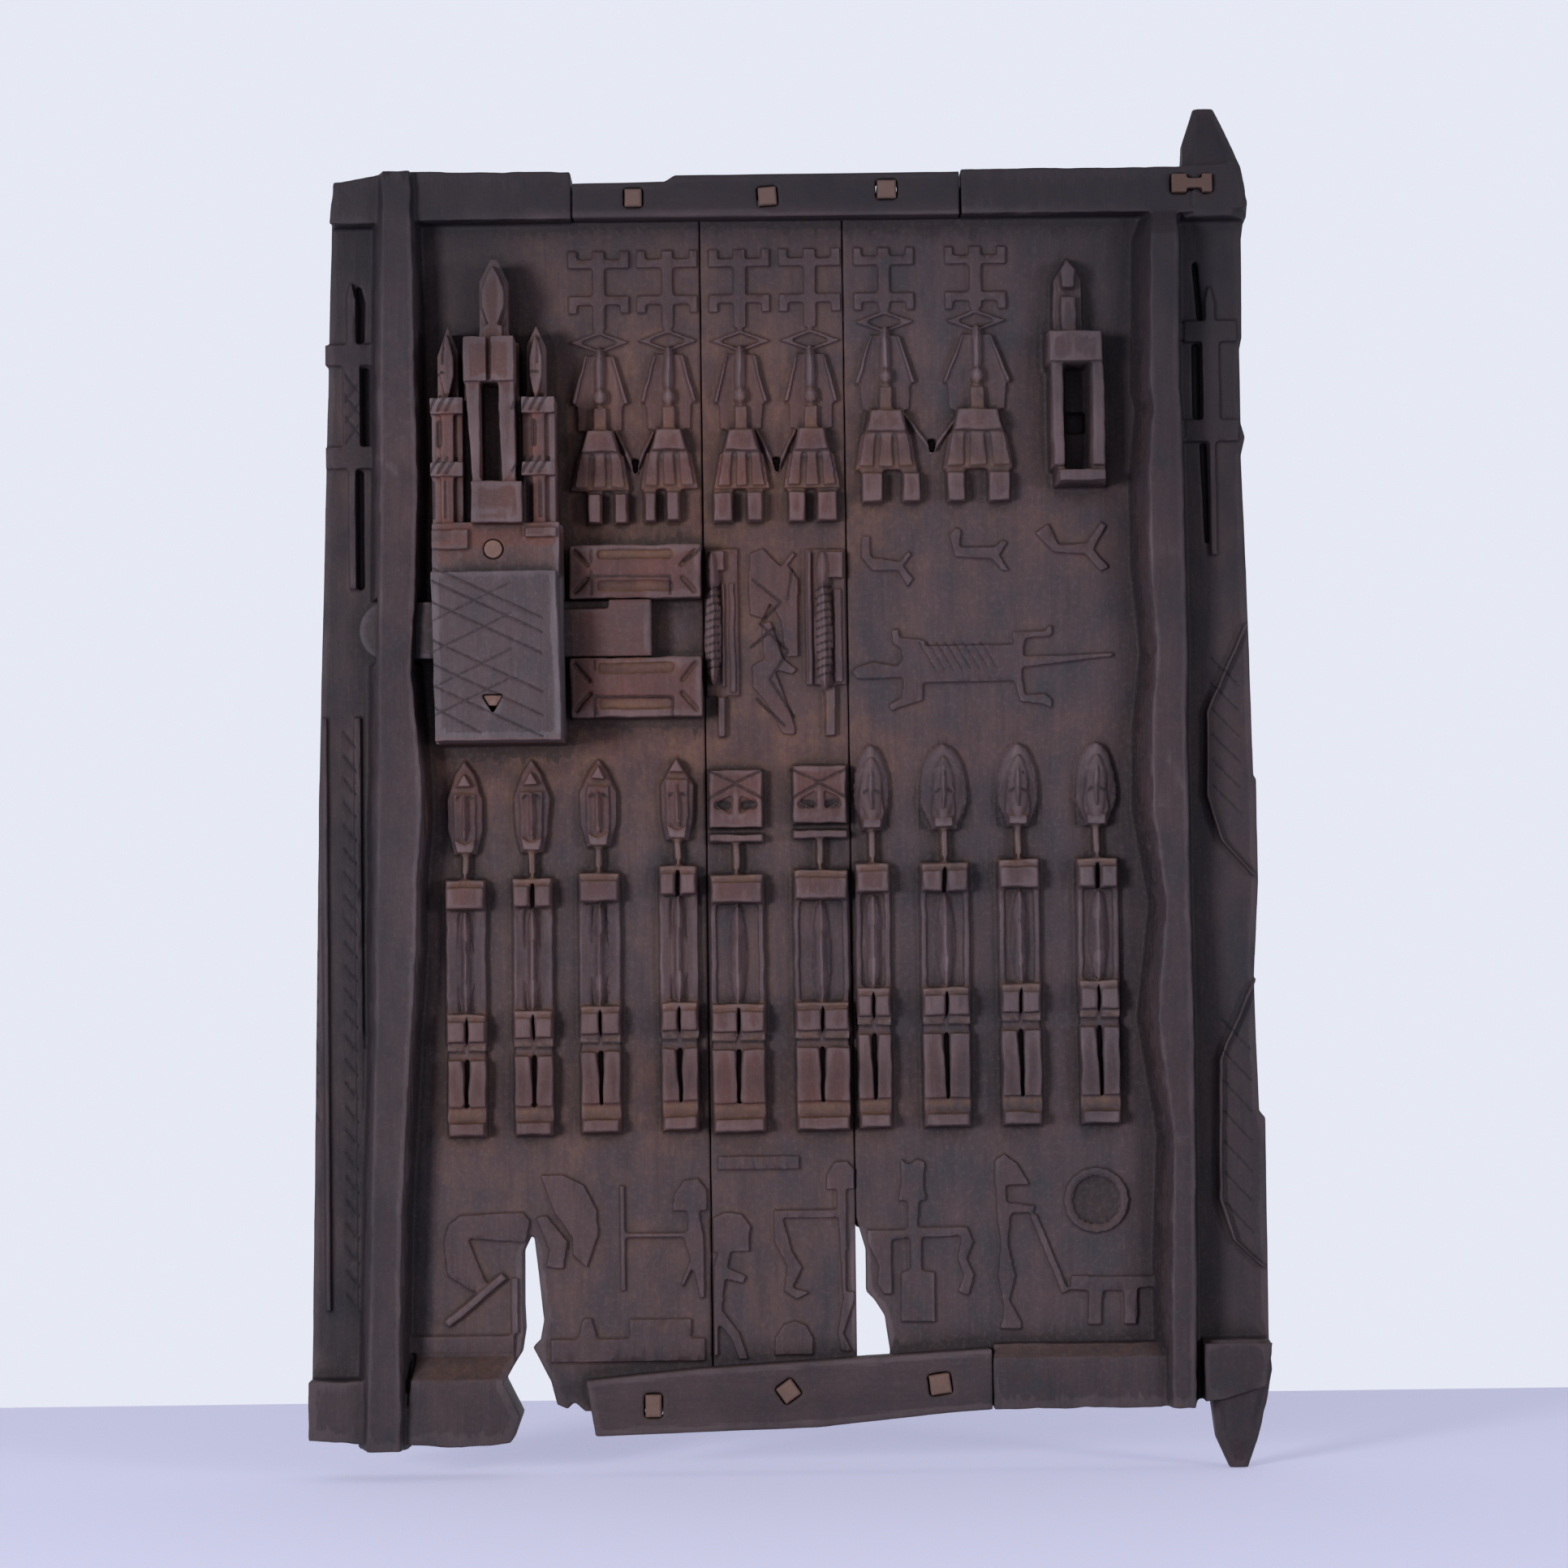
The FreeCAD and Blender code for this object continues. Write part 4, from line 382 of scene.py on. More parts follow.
def dancers(maps):
    """Noses of the masks, knobs, and the cords that hang from skirt to skirt."""
    for x, rise in DANCERS:
        leaf(maps["forms"], x, 457 + rise, 482 + rise, 2.8, 5, 9)
        leaf(maps["forms"], x, 456.5 + rise, 463.5 + rise, 3, 7.5, 10.5, keel=False)
        leaf(maps["forms"], x, 446 + rise, 459 + rise, 2.6, 5, 7.5, keel=False)
        # Painted highlights on the skirt's edge, the knob and the nose
        draw(maps["rubs_and_highlights"], [(x - 7, 435 + rise, x + 7, 435 + rise)], 2.6, 0.6)
        draw(maps["rubs_and_highlights"], [(x - 0.8, 460 + rise, x + 0.8, 460 + rise)], 2.4, 0.7)
        draw(maps["rubs_and_highlights"], [(x, 464 + rise, x, 476 + rise)], 2.4, 0.7)
        draw(maps["dust"], [(x - 11, 422 + rise, x + 11, 422 + rise)], 6, 0.5)
        draw(maps["dust"], [(x, 446 + rise, x, 456 + rise)], 6, 0.5)
    for first, second in ((0, 1), (2, 3), (4, 5)):
        (x0, rise), (x1, _) = DANCERS[first], DANCERS[second]
        foot = ((x0 + x1) / 2, 428 + rise)
        draw(maps["forms"], [(x0 + 7, 445 + rise, *foot), (x1 - 7, 445 + rise, *foot)], 2.4, 5.2)


def snakes(maps):
    """Two scaly snakes on the centre plank."""
    for x, top, bottom in ((3.7, 379, 336), (51.2, 379, 333)):
        leaf(maps["forms"], x, bottom, top, 3.4, 8, 13)
        leaf(maps["forms"], x, top - 4, top + 13, 2.8, 7, 11, keel=False)
        draw(maps["cuts"], hatch(x - 3, x + 3, top - 3, bottom + 5, 3.4, -1.6), 1.1, 0.6)
        # Pale stroke along each snake: rubbed wear, and painted highlight
        draw(maps["rubs_and_highlights"], [(x - 1, bottom + 5, x - 1, top - 4)], 3.6, 0.7)
        draw(maps["dust"], [(x + 1, bottom - 12, x + 1, bottom - 2)], 4, 0.9)


def margins(maps):
    """Twisted cords and scales on the edges of the door, and marks on the raised bars."""
    draw(maps["cuts"], hatch(-155, -150, 318, 76, 10, 7) + hatch(-171, -167, 300, 150, 10, 8), 1.3, 0.5)
    draw(maps["cuts"], hatch(-153, -147, 472, 446, 9, 8) + hatch(-147, -153, 468, 446, 9, 8), 1.2, 0.45)
    draw(maps["cuts"], hatch(217, 229, 345, 285, 11, 12) + hatch(219, 231, 190, 105, 13, 13), 1.1, 0.5)
    # Pale marks on the raised bars: rub and scratch marks, partly painted highlight
    draw(maps["rubs_and_highlights"], [(-138, 434, -130, 427), (-137, 462, -136.5, 452)], 2.4, 0.9)
    draw(maps["rubs_and_highlights"], [(190, 388, 205, 389.5), (192, 281, 206, 283), (196, 301, 204, 286)], 1.6, 0.9)


def guides(maps):
    """Outlines of the middle fields on the two guides of the bolt, and dust on the guides."""
    upper = [(-47.5, 374, -47.5, 384), (-14, 374, -14, 382), (-47.5, 382, -14, 381.5)]
    lower = [(-46.5, 322, -46.5, 331), (-13.5, 322, -13.5, 330), (-46.5, 330.5, -13.5, 330)]
    ends = [(-47.5, 388, -47.5, 393), (-46.5, 342, -46.5, 346), (-8, 388, -1, 393)]
    draw(maps["cuts"], upper + lower + ends, 1.2, 0.7)
    draw(maps["dust"], [(-45, 392, -12, 392), (-45, 344.5, -12, 344.5), (-44, 326, -16, 326)], 3.5, 0.8)


def figures_and_crocodile(maps):
    """Knife lines of the angular figures between the snakes, and scales of the crocodile."""
    upper = [(21, 381, 33, 371), (33, 371, 24, 362), (24, 362, 36, 350), (20, 352, 30, 360)]
    lower = [(36, 350, 28, 338), (28, 338, 38, 322), (22, 330, 34, 318), (38, 385, 36, 372)]
    draw(maps["cuts"], upper + lower, 1.2, 0.8)
    draw(maps["cuts"], [(x, 353, x + 7, 341) for x in np.arange(92, 121, 3.8)], 1.0, 0.4)


def lock_case(maps):
    """Lattice on the plate, and bands, faces and rails of the figures above it."""
    draw(maps["cuts"], slanting(-113, -67, (384, 378, 369, 353, 343, 334), -22), 1.1, 0.5)
    draw(maps["cuts"], slanting(-113, -93, (325,), -11), 1.1, 0.5)
    draw(maps["cuts"], slanting(-113, -80, (361, 348, 333, 321), 16), 1.0, 0.4)
    for left in (-118, -79):
        for low, high in ((451, 458.5), (424.5, 431)):
            draw(maps["cuts"], [(x, low, x + 4, high) for x in np.arange(left, left + 11, 3.6)], 1.4, 0.7)
            # Pale band across each hatched band: rubbed, partly painted highlight
            draw(maps["rubs_and_highlights"], [(left, (low + high) / 2, left + 13, (low + high) / 2)], 6, 0.5)
    for middle in (-110.5, -70.5):
        draw(maps["cuts"], [(middle, 437, middle, 446)], 2.6, 0.9)
        draw(maps["cuts"], [(middle + side, 406, middle + side, 421) for side in (-2.6, 2.6)], 1.4, 0.7)
        draw(maps["cuts"], [(middle + 1.6, 472, middle + 1.6, 483)], 1.2, 0.7)
        draw(maps["cuts"], [(middle - 2, 468, middle + 2, 468)], 1.2, 0.7)
        draw(maps["dust"], [(middle, 406, middle, 422), (middle, 434, middle, 449)], 4, 0.9)
        draw(maps["dust"], [(middle, 460, middle, 484)], 6, 0.6)
    fill(maps["cuts"], -117, -105, 395, 401, 0.18)
    fill(maps["cuts"], -76, -66, 397.5, 402, 0.18)
    draw(maps["dust"], [(-114, 390, -66, 390)], 12, 0.55)
    # Painted highlights along the plate's left and right edges and along the seat's edge
    draw(maps["rubs_and_highlights"], [(-115.5, 316, -115.5, 378), (-60.5, 315, -60.5, 380)], 3.4, 0.7)
    draw(maps["rubs_and_highlights"], [(-98, 407, -80, 407)], 3.4, 0.7)


PLANK_MAPS, CASE_MAPS, BARE_MAPS = blank_maps(), blank_maps(), blank_maps()
for carve in (long_row, dancers, snakes, guides, margins, figures_and_crocodile):
    carve(PLANK_MAPS)
lock_case(CASE_MAPS)


def maps_of(node):
    if "plank" in node:
        return PLANK_MAPS
    return CASE_MAPS if node == "lock_case" else BARE_MAPS


def read_fine(picture, points):
    return picture[np.clip(((points[:, 0] - MAP_X) / FINE).astype(int), 0, FINE_SHAPE[0] - 1),
                   np.clip(((points[:, 2] - MAP_Z) / FINE).astype(int), 0, FINE_SHAPE[1] - 1)]


# Shaping by hand

# Faces along which the planks meet (x in mm): they stay flat, so no light comes through
SEAM_FACES = {
    "left_plank": (-220.6,),
    "centre_plank": (-220.4, -159.2),
    "right_plank": (-159,),
}

# Where the wavering of the outlines starts (y in mm) and how far it goes (mm)
WAVERING = {
    "left_plank": (-3, 0.45),
    "centre_plank": (-3, 0.45),
    "right_plank": (-3, 0.45),
    "lock_case": (-34, 0.3),
}


def node_box(node):
    corners = np.array([corner.co for corner in frame["nodes"][node].data.vertices])
    return corners.min(axis=0), corners.max(axis=0)


def on_front(points):
    """Places in mm: across from the left seam, and up from the bottom pivot."""
    return (points[:, 0] - SEAM) / MM, points[:, 2] / MM


def bump_of(value, centre, spread):
    """1 at the centre, and falling to nothing on both sides."""
    return np.exp(-((value - centre) / spread) ** 2)


def tool_marks(points, direction, seed):
    """Shallow facets left by an adze and a knife, from 0 to 1."""
    facet = np.full(3, 5 * MM)
    facet["XYZ".index(direction)] = 16 * MM
    marks = 0.6 * value_noise(points, facet, seed) + 0.4 * value_noise(points, facet * 0.45, seed + 1)
    return np.clip(0.5 + 0.5 * marks, 0, 1)


def unsteady(points, start, amount):
    """Waver of a knife held by hand, in metres, growing over 2 mm in front of a level."""
    weight = np.clip((start * MM - points[:, 1]) / (2 * MM), 0, 1) * amount * MM
    moved = points.copy()
    for axis, seed in ((0, 901), (2, 907)):
        waver = 0.7 * value_noise(points, np.full(3, 9 * MM), seed)
        waver += 0.5 * value_noise(points, np.full(3, 4 * MM), seed + 1)
        moved[:, axis] += weight * waver
    return moved


def narrowed(points):
    """Close the saw cuts in hips, legs and shoulders a little, as on the real figures."""
    moved = points.copy()
    x, z = on_front(points)
    for middle, _, hip, rise, _ in ROW:
        away = x - middle
        in_front = (points[:, 1] < -4 * MM) & (abs(away) < 6)
        in_hips = in_front & (z > HIPS + hip - 0.5) & (z < HIPS_TOP + hip + 3)
        in_legs = in_front & (z > LEG_FOOT) & (z < HIPS + hip - 0.5)
        in_shoulders = in_front & (z > SHOULDERS + rise - 1) & (z < SHOULDERS + rise + 16)
        for place, wall, closed in ((in_hips, 2.6, 1.9), (in_legs | in_shoulders, 1.4, 0.75)):
            shift = closed * np.clip(abs(away) / 1.5, 0, 1) * bump_of(abs(away), wall, 1.1 * closed)
            moved[place, 0] -= MM * (np.sign(away) * shift)[place]
    return moved


def holes_closed(points):
    """Bring the walls of the peg holes up to the pegs, halfway through the wood."""
    near, far = 3 * MM, 11 * MM
    for peg in frame["nodes"]:
        if "_peg_" in peg:
            low, high = node_box(peg)
            middle, half = (low + high) / 2, (high - low) / 2
            x, z = points[:, 0] - middle[0], points[:, 2] - middle[2]
            inside = (abs(x) < 1.15 * half[0]) & (abs(z) < 1.15 * half[2])
            inside &= (points[:, 1] > near) & (points[:, 1] < far)
            points[inside, 0] = middle[0] + 0.9 * x[inside]
            points[inside, 2] = middle[2] + 0.9 * z[inside]
    return points


def hoods_drawn_in(points):
    """Cut the lower corners of the four hoods back to the panel."""
    x, z = on_front(points)
    for middle, wide, _, rise, head in ROW:
        if head == "hood":
            share = np.clip((z - HOOD_FOOT - rise / 2) / (HOOD_WIDEST - HOOD_FOOT), 0, 1)
            away = abs(x - middle)
            corner = (away > wide / 2 * (0.5 + 0.52 * share)) & (away < wide / 2 + 1.5)
            corner &= (z > HOOD_FOOT - 9 + rise) & (z < HOOD_WIDEST + rise / 2)
            corner &= (points[:, 1] < PANEL_Y) & (points[:, 1] > PANEL_Y - 5 * MM)
            points[:, 1] = np.where(corner, PANEL_Y, points[:, 1])
    return points


def ring_opened(points):
    """Sink the middle of the ring on the right panel down to the panel."""
    x, z = on_front(points)
    inside = np.hypot(x - RING_X, z - RING_Z) < RING_OPENING
    inside &= (points[:, 1] < PANEL_Y) & (points[:, 1] > PANEL_Y - 5 * MM)
    points[:, 1] = np.where(inside, PANEL_Y, points[:, 1])
    return points


def carve_piece(node, mesh, wood, seed):
    """Sink tool marks and knife lines into a dense mesh, and keep it within the node's box."""
    low, high = (np.array(corner) for corner in node_box(node))
    maps = maps_of(node)
    points = coordinates(mesh)
    if "plank" in node:
        points = ring_opened(hoods_drawn_in(holes_closed(narrowed(points))))
    outward = normals(mesh)
    front = (points[:, 1] < PANEL_Y + 0.5 * MM) & (outward[:, 1] < 0.3)
    raised = np.minimum(points[:, 1], -read_fine(maps["forms"], points) * MM)
    points[:, 1] = np.where(front, raised, points[:, 1])
    sunk = wood.depth * MM * tool_marks(points, wood.grain, seed)
    sunk += MM * np.where(outward[:, 1] < -0.5, read_fine(maps["cuts"], points), 0)
    moved = points - outward * sunk[:, None]
    if node in WAVERING:
        moved = unsteady(moved, *WAVERING[node])
    moved = np.clip(moved, low, high)
    for seam in SEAM_FACES.get(node, ()):
        against = (abs(points[:, 0] - seam * MM) < 1.1 * MM) & (points[:, 1] > 1 * MM)
        moved[against, 0] = seam * MM
    set_coordinates(mesh, moved)


def warmth(points):
    """Share of red earth and ochre: most by the lock, the dancers, and the row's heads and feet."""
    x, z = on_front(points)
    side = np.clip(1 - (x - 20) / 110, 0.25, 1)
    level = 0.2 + 0.65 * bump_of(z, 420, 60) + 0.5 * bump_of(z, 308, 22) + 0.35 * bump_of(z, 160, 22)
    high = np.clip(-points[:, 1] / MM - 7.5, 0, 1) * np.clip((190 - x) / 200, 0, 0.9)
    high *= (x > LEFT_BAR) & (z > 130) & (z < 520)
    case = bump_of(x, -90, 40) * bump_of(z, 412, 34) * 0.7
    lock_plate = (x < -57) & (z > 312) & (z < 393)
    worn_dark = (x < LEFT_BAR) | lock_plate
    return np.clip(side * level + 0.7 * high + case, 0, 1) * np.where(worn_dark, 0.3, 1)


def shade_and_darkening(points):
    """Share of darkening: along the rim, near the top batten, and on legs, hoods and the lock. The band
    at the top is painted shade and the patch round the lock's head is painted shadow.
    """
    x, z = on_front(points)
    # Painted shade: darker towards the top of the door, where less light falls
    top = np.clip((z - 532) / 14, 0, 1) * 0.95
    edges = np.clip((-110 - x) / 30, 0, 1) * 0.6 * (x < LEFT_BAR) + np.clip((x - 175) / 30, 0, 1) * 0.55
    foot = np.clip((62 - z) / 30, 0, 1) * 0.5
    upper_right = np.clip((x - 120) / 60, 0, 1) * np.clip((z - 330) / 120, 0, 1) * 0.35
    under_batten = np.clip((z - 480) / 40, 0, 1) * 0.35
    # Painted shadow round the lock's head
    shadow_by_lock_head = 0.5 * bump_of(x, -100, 22) * np.clip((z - 455) / 30, 0, 1)
    legs = 0.3 * bump_of(z, 168, 8)
    lock_seat = 0.3 * bump_of(x, -92, 14) * bump_of(z, 412, 9)
    hoods = 0.4 * (x > 60) * bump_of(z, 291, 12)
    figures = legs + lock_seat + hoods
    figures *= (x > LEFT_BAR) & (x < RIGHT_BAR) & (points[:, 1] < -4.5 * MM)
    rim = np.maximum(top, np.maximum(edges, foot))
    return np.clip(rim + upper_right + (under_batten + shadow_by_lock_head) + figures, 0, 1)


def record_surface(node, mesh):
    """Keep on every vertex what the materials need to know of its place."""
    points = coordinates(mesh)
    maps = maps_of(node)
    # 1 on the carved front, falling to nothing inside the wood, so that the back stays plain
    carved_side = np.clip(8 - points[:, 1] / MM, 0, 8) / 8
    near, wide = (carved_side * value for value in hollow(points))
    ledge = np.clip((normals(mesh)[:, 2] - 0.3) / 0.4, 0, 1) * (points[:, 1] < -3 * MM)
    values = {"near_hollow": near, "wide_hollow": wide, "warmth": warmth(points), "shade_and_darkening": shade_and_darkening(points),
              "scored": carved_side * read_fine(maps["cuts"], points),
              "rubbed_and_highlit": carved_side * read_fine(maps["rubs_and_highlights"], points),
              "dusty": carved_side * read_fine(maps["dust"], points), "ledge": ledge,
              "low": (points[:, 1] > PANEL_Y - 1.2 * MM).astype(float)}
    for name, row in values.items():
        layer = mesh.attributes.new(name, "FLOAT", "POINT")
        layer.data.foreach_set("value", row.astype(np.float32))


# Materials

def node_tree(name):
    material = bpy.data.materials.new(name)
    material.use_nodes = True
    tree = material.node_tree
    return material, tree, tree.nodes["Principled BSDF"]


def add(tree, kind, inputs=(), **settings):
    """A node with its settings; inputs are (socket, value or output to link)."""
    node = tree.nodes.new(kind)
    for key, value in settings.items():
        setattr(node, key, value)
    for socket, value in inputs:
        if isinstance(value, bpy.types.NodeSocket):
            tree.links.new(value, node.inputs[socket])
        else:
            node.inputs[socket].default_value = value
    return node


def mixed(tree, factor, a, b):
    """Colour b over colour a by a linked factor; a colour is three values or an output to link."""
    a, b = (c if isinstance(c, bpy.types.NodeSocket) else (*c, 1) for c in (a, b))
    return add(tree, "ShaderNodeMix", [(0, factor), (6, a), (7, b)], data_type="RGBA").outputs[2]


def ranged(tree, value, low, high, to_low=0.0, to_high=1.0):
    """A value's place between two limits, as a share or between two other values."""
    node = add(tree, "ShaderNodeMapRange", [("Value", value), ("From Min", low), ("From Max", high),
                                            ("To Min", to_low), ("To Max", to_high)])
    return node.outputs["Result"]


def multiplied(tree, a, b):
    return add(tree, "ShaderNodeMath", [(0, a), (1, b)], operation="MULTIPLY").outputs[0]


def greater(tree, a, b):
    return add(tree, "ShaderNodeMath", [(0, a), (1, b)], operation="MAXIMUM").outputs[0]


def stretched_noise(tree, coordinate, scale, detail, roughness=0.6):
    place = add(tree, "ShaderNodeMapping", [("Vector", coordinate), ("Scale", scale)])
    noise = add(tree, "ShaderNodeTexNoise", [("Vector", place.outputs[0]), ("Scale", 1.0),
                                             ("Detail", detail), ("Roughness", roughness)])
    return noise.outputs["Fac"]


def grain_scale(direction, across, along):
    scale = [across] * 3
    scale["XYZ".index(direction)] = along
    return scale


def attribute(tree, name):
    return add(tree, "ShaderNodeAttribute", attribute_name=name).outputs["Fac"]


def old_wood(name, direction, tones, gloss):
    """Handled wood: mauve-grey faces, red earth in the hollows, painted shade in the hollows and knife
    lines, pale rubbed places with painted highlights on proud edges, and darkened places that are partly
    painted shade.
    """
    material, tree, shader = node_tree(name)
    coordinate = add(tree, "ShaderNodeTexCoord").outputs["Object"]
    near = attribute(tree, "near_hollow")
    wide = attribute(tree, "wide_hollow")
    warm_share = attribute(tree, "warmth")
    fibre = stretched_noise(tree, coordinate, grain_scale(direction, 800, 60), 4)
    streak = stretched_noise(tree, coordinate, grain_scale(direction, 170, 14), 4)
    patch = stretched_noise(tree, coordinate, (45, 45, 34), 5)
    speck = stretched_noise(tree, coordinate, (480, 480, 480), 3)
    mottle = stretched_noise(tree, coordinate, (190, 190, 150), 4, 0.7)

    even = ranged(tree, attribute(tree, "low"), 0.0, 1.0, 1.0, 0.3)
    plain = multiplied(tree, even, ranged(tree, mottle, 0.4, 0.62))
    face = mixed(tree, plain, tones["cool"], tones["body"])
    face = mixed(tree, ranged(tree, patch, 0.35, 0.65), face, [1.2 * c for c in tones["body"]])
    earth = multiplied(tree, warm_share, ranged(tree, wide, -4, 2.5, 0.8, 0.95))
    earth = multiplied(tree, earth, ranged(tree, patch, 0.3, 0.6, 0.5, 1.0))
    face = mixed(tree, earth, face, tones["warm"])
    ochre = multiplied(tree, ranged(tree, mottle, 0.42, 0.66), ranged(tree, patch, 0.36, 0.62, 0.1, 1.0))
    ochre = multiplied(tree, ochre, ranged(tree, warm_share, 0.05, 0.7, 0.0, 0.75))
    face = mixed(tree, multiplied(tree, ochre, attribute(tree, "low")), face, tones["dust"])
    dusty = multiplied(tree, ranged(tree, near, 0.1, 1.5), ranged(tree, patch, 0.35, 0.65, 0.2, 1.0))
    dusty = multiplied(tree, dusty, ranged(tree, warm_share, 0.0, 0.8, 0.1, 0.55))
    face = mixed(tree, dusty, face, tones["dust"])
    settled = multiplied(tree, attribute(tree, "ledge"), ranged(tree, warm_share, 0.0, 0.6, 0.35, 0.8))
    settled = greater(tree, settled, attribute(tree, "dusty"))
    settled = multiplied(tree, settled, ranged(tree, mottle, 0.35, 0.65, 0.2, 0.9))
    face = mixed(tree, settled, face, tones["dust"])

    # Painted shade: darker in small hollows, and over wide low places round tall relief
    deep = ranged(tree, near, 0.7, 2.8)
    face = mixed(tree, multiplied(tree, deep, 0.6), face, tones["dark"])
    face = mixed(tree, ranged(tree, wide, 0.9, 3.6, 0.0, 0.4), face, tones["dark"])
    # Paler on proud edges: wear, and painted highlight
    worn = multiplied(tree, ranged(tree, near, -0.3, -1.4), ranged(tree, patch, 0.3, 0.6, 0.35, 1.0))
    face = mixed(tree, multiplied(tree, worn, 0.42), face, tones["pale"])
    # Pale rubbed places together with painted highlights on proud ridges and edges
    face = mixed(tree, multiplied(tree, attribute(tree, "rubbed_and_highlit"), 0.6), face, tones["pale"])
    # Knife lines darker: painted shade in the grooves
    face = mixed(tree, ranged(tree, attribute(tree, "scored"), 0.05, 0.4, 0.0, 0.65), face, tones["dark"])
    face = mixed(tree, ranged(tree, streak, 0.4, 0.65, 0.0, 0.16), face, tones["dark"])
    face = mixed(tree, ranged(tree, fibre, 0.45, 0.65, 0.0, 0.12), face, tones["dark"])
    face = mixed(tree, ranged(tree, speck, 0.5, 0.7, 0.0, 0.14), face, tones["pale"])
    # Darkened places, partly painted shade: the band at the top and the shadow round the lock's head
    face = mixed(tree, multiplied(tree, attribute(tree, "shade_and_darkening"), 0.85), face, tones["shade_and_darkening"])

    tree.links.new(face, shader.inputs["Base Color"])
    rough = ranged(tree, patch, 0.3, 0.7, gloss + 0.1, gloss - 0.05)
    tree.links.new(rough, shader.inputs["Roughness"])
    fine = add(tree, "ShaderNodeBump", [("Height", fibre), ("Distance", 0.0003), ("Strength", 0.35)])
    grit = add(tree, "ShaderNodeBump", [("Height", speck), ("Distance", 0.0004), ("Strength", 0.35),
                                        ("Normal", fine.outputs[0])])
    tree.links.new(grit.outputs[0], shader.inputs["Normal"])
    shader.inputs["Specular IOR Level"].default_value = 0.16
    return material


# Colours of each wood: plain, in cool patches, dark for painted shade in hollows and knife lines and for
# the grain, where red with earth, dusty, pale for rubbed places, specks and painted highlights, and
# darkened, partly as painted shade
PLANK_TONES = {
    "body": (0.054, 0.037, 0.043), "cool": (0.038, 0.037, 0.047), "dark": (0.01, 0.0075, 0.0095),
    "warm": (0.115, 0.046, 0.04), "dust": (0.16, 0.088, 0.056), "pale": (0.165, 0.125, 0.14),
    "shade_and_darkening": (0.013, 0.0115, 0.016)}
LOCK_TONES = {
    "body": (0.052, 0.043, 0.052), "cool": (0.044, 0.045, 0.057), "dark": (0.012, 0.009, 0.011),
    "warm": (0.105, 0.042, 0.036), "dust": (0.145, 0.056, 0.038), "pale": (0.155, 0.13, 0.15),
    "shade_and_darkening": (0.017, 0.013, 0.016)}
PEG_TONES = {
    "body": (0.14, 0.08, 0.072), "cool": (0.1, 0.063, 0.058), "dark": (0.045, 0.027, 0.024),
    "warm": (0.16, 0.088, 0.07), "dust": (0.2, 0.12, 0.085), "pale": (0.24, 0.155, 0.14),
    "shade_and_darkening": (0.1, 0.064, 0.058)}
REPAIR_TONES = {
    "body": (0.11, 0.062, 0.052), "cool": (0.08, 0.05, 0.046), "dark": (0.036, 0.02, 0.017),
    "warm": (0.12, 0.06, 0.045), "dust": (0.18, 0.11, 0.075), "pale": (0.24, 0.165, 0.15),
    "shade_and_darkening": (0.07, 0.043, 0.037)}

MATERIALS = {}
for slot, ways, tones, gloss in (
        ("plank_wood", "ZX", PLANK_TONES, 0.6),
        ("lock_wood", "ZX", LOCK_TONES, 0.55),
        ("peg_wood", "YZ", PEG_TONES, 0.62),
        ("repair_wood", "X", REPAIR_TONES, 0.6)):
    for way in ways:
        MATERIALS[slot, way] = old_wood(slot + "_" + way, way, tones, gloss)


def body_of_node(node):
    bodies = frame["record"]["behaviour"]["bodies"]
    return [name for name, nodes in bodies.items() if node in nodes][0]


for number, (node, wood) in enumerate(PIECES.items()):
    mesh, slot = dense[node], wood.slot
    carve_piece(node, mesh, wood, seed=10 * number)
    record_surface(node, mesh)
    triangles = 2 * len(mesh.polygons)
    if triangles > wood.triangles:
        mesh = applied(mesh, "DECIMATE", {"ratio": wood.triangles / triangles})
    mesh.materials.clear()
    mesh.materials.append(MATERIALS[slot, wood.grain])
    mesh.polygons.foreach_set("use_smooth", [True] * len(mesh.polygons))
    piece = bpy.data.objects.new(node + "_carved", mesh)
    bpy.context.scene.collection.objects.link(piece)
    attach(piece, body_of_node(node))
    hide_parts(node)
    print(node, len(mesh.polygons), "faces")


# Floor, light and camera

FLOOR_BACK = 0.33
FLOOR_REACH = 6
FLOOR_GLOW = 0.38
BACKGROUND = (0.79, 0.815, 0.905)
AMBIENT = 0.25


def seen_directly(tree):
    """1 for camera, glossy and transmission rays, which show the pale background."""
    path = add(tree, "ShaderNodeLightPath")
    seen = greater(tree, path.outputs["Is Camera Ray"], path.outputs["Is Glossy Ray"])
    return greater(tree, seen, path.outputs["Is Transmission Ray"])


def make_stage():
    """Pale floor that ends where the wall behind the door would stand."""
    material, tree, shader = node_tree("floor_paint")
    shader.inputs["Base Color"].default_value = (0.82, 0.82, 0.95, 1)
    shader.inputs["Roughness"].default_value = 0.9
    shader.inputs["Emission Color"].default_value = (0.66, 0.66, 1.0, 1)
    glow = multiplied(tree, seen_directly(tree), FLOOR_GLOW)
    tree.links.new(glow, shader.inputs["Emission Strength"])
    mesh = bpy.data.meshes.new("floor")
    corners = [(-FLOOR_REACH, -FLOOR_REACH, 0), (FLOOR_REACH, -FLOOR_REACH, 0),
               (FLOOR_REACH, FLOOR_BACK, 0), (-FLOOR_REACH, FLOOR_BACK, 0)]
    mesh.from_pydata(corners, [], [(0, 1, 2, 3)])
    floor = bpy.data.objects.new("floor", mesh)
    floor.data.materials.append(material)
    bpy.context.scene.collection.objects.link(floor)


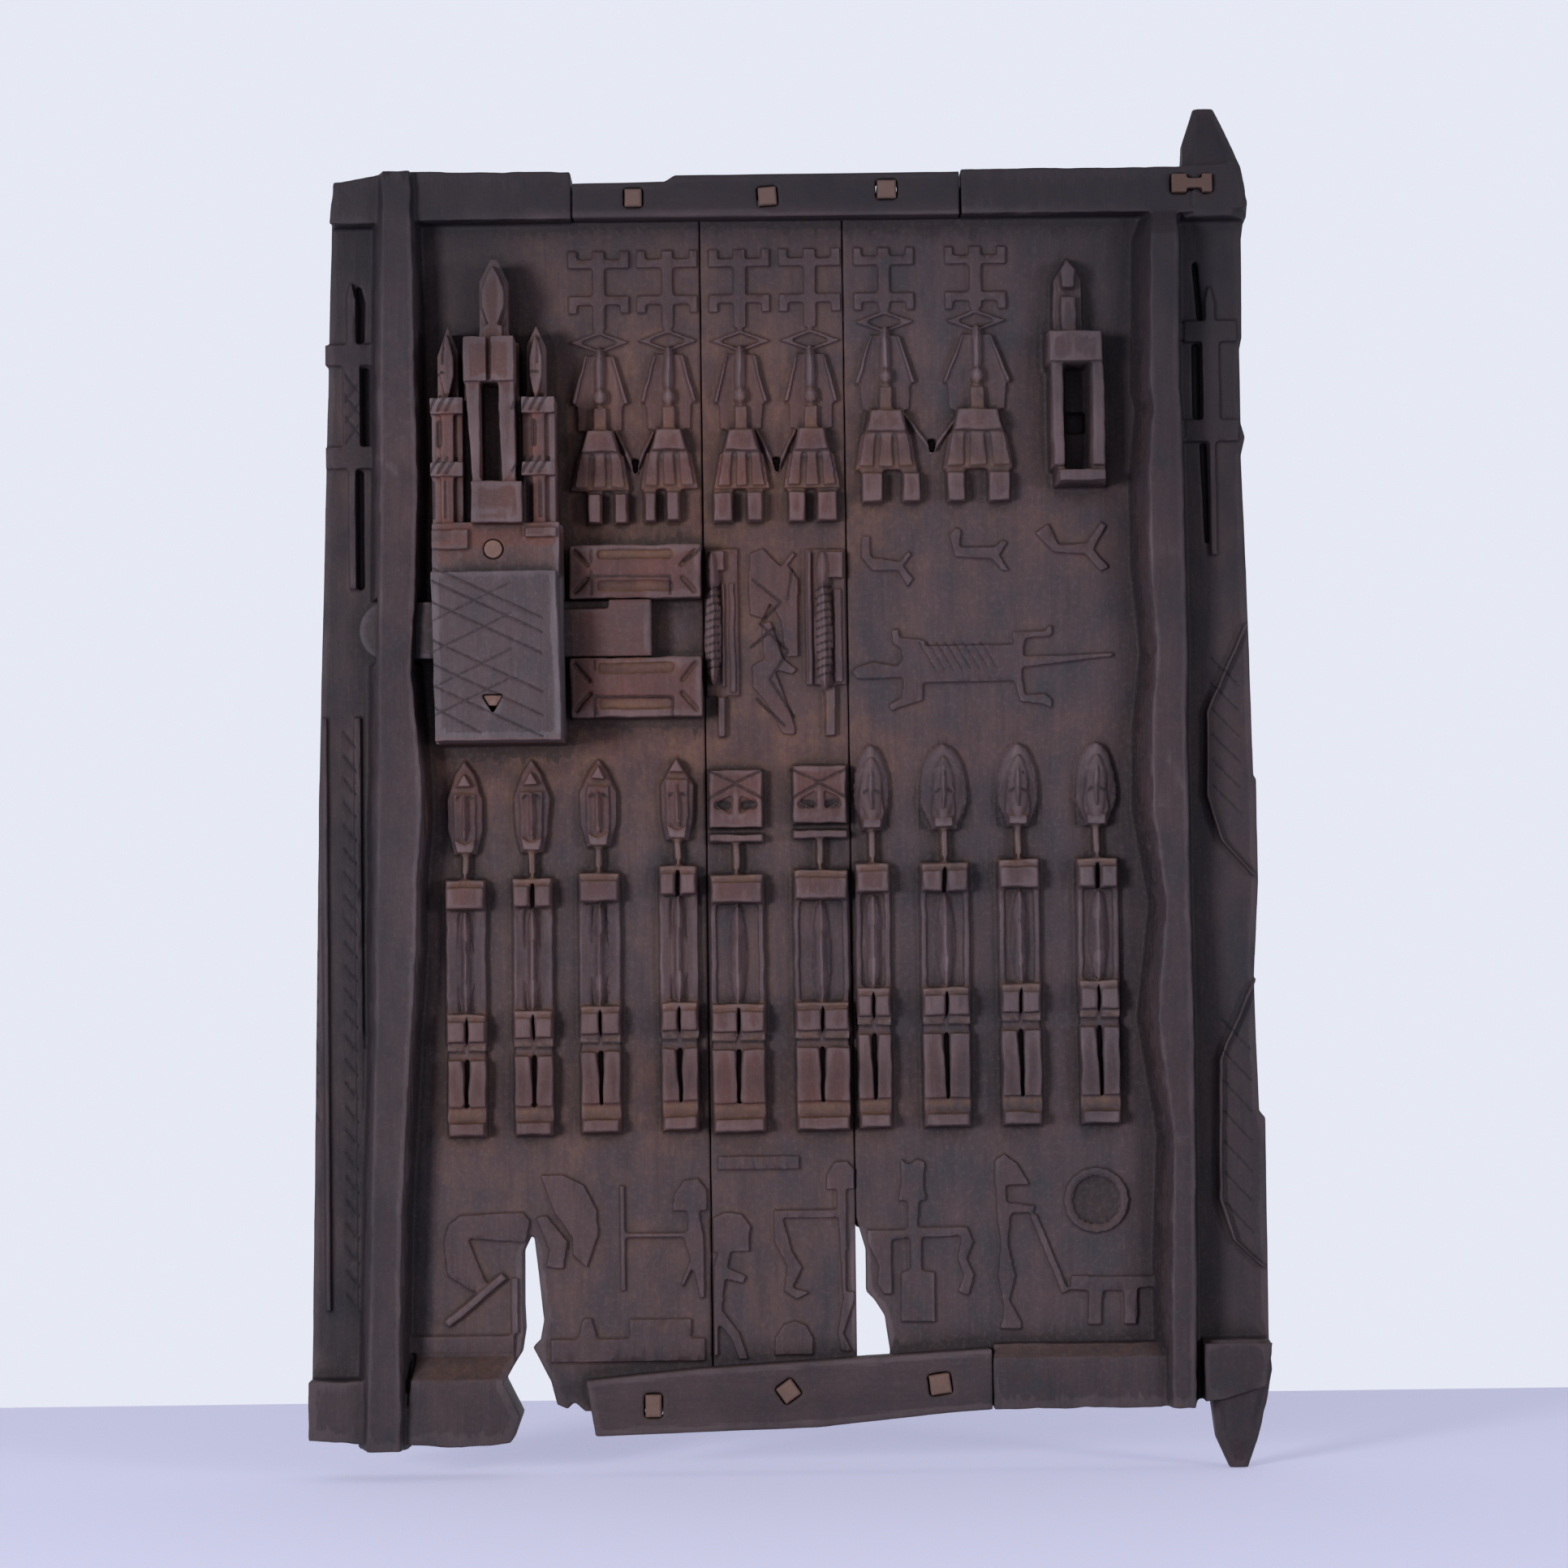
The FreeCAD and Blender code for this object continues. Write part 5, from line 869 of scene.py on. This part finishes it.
def make_world():
    """Soft light all round; camera, glossy and transmission rays see the pale background."""
    world = bpy.data.worlds.new("studio")
    bpy.context.scene.world = world
    world.use_nodes = True
    tree = world.node_tree
    ambient = tree.nodes["Background"]
    ambient.inputs["Color"].default_value = (0.93, 0.95, 1.0, 1)
    ambient.inputs["Strength"].default_value = AMBIENT
    shown = add(tree, "ShaderNodeBackground", [("Color", (*BACKGROUND, 1)), ("Strength", 1.0)])
    blend = add(tree, "ShaderNodeMixShader", [("Fac", seen_directly(tree))])
    tree.links.new(ambient.outputs[0], blend.inputs[1])
    tree.links.new(shown.outputs[0], blend.inputs[2])
    tree.links.new(blend.outputs[0], tree.nodes["World Output"].inputs["Surface"])


def make_lamp(name, place, target, power, size):
    light = bpy.data.lights.new(name, "AREA")
    light.energy = power
    light.size = size
    lamp = bpy.data.objects.new(name, light)
    lamp.location = place
    lamp.rotation_euler = (Vector(target) - Vector(place)).to_track_quat("-Z", "Y").to_euler()
    bpy.context.scene.collection.objects.link(lamp)


# View of the photograph: its scale at the door's front, and where and how the camera looks
PHOTO_WIDTH = 1932
PIXELS_PER_MM = 2.8913
DISTANCE = 1.75
TARGET = Vector((-0.18715, -0.011, 0.2926))
LOOK_UP = math.radians(3)
ROLL = math.radians(0.752)


def make_camera():
    """Camera square to the door, a little low, and turned slightly about its line of sight."""
    camera = bpy.data.cameras.new("camera")
    camera.sensor_width = 36
    camera.lens = PIXELS_PER_MM * DISTANCE / MM / PHOTO_WIDTH * camera.sensor_width
    ahead = Vector((0, math.cos(LOOK_UP), math.sin(LOOK_UP)))
    side = Vector((1, 0, 0))
    up = side.cross(ahead)
    right = math.cos(ROLL) * side - math.sin(ROLL) * up
    top = math.sin(ROLL) * side + math.cos(ROLL) * up
    turn = Matrix((right, top, -ahead)).transposed()
    view = bpy.data.objects.new("camera", camera)
    view.matrix_world = Matrix.Translation(TARGET - DISTANCE * ahead) @ turn.to_4x4()
    bpy.context.scene.collection.objects.link(view)
    bpy.context.scene.camera = view


make_stage()
make_world()
make_lamp("key", (-1.35, -1.9, 0.33), TARGET, power=36, size=0.45)
make_lamp("fill", (1.5, -1.7, 0.4), TARGET, power=14, size=0.5)
make_camera()
bpy.context.scene.view_settings.view_transform = "Standard"
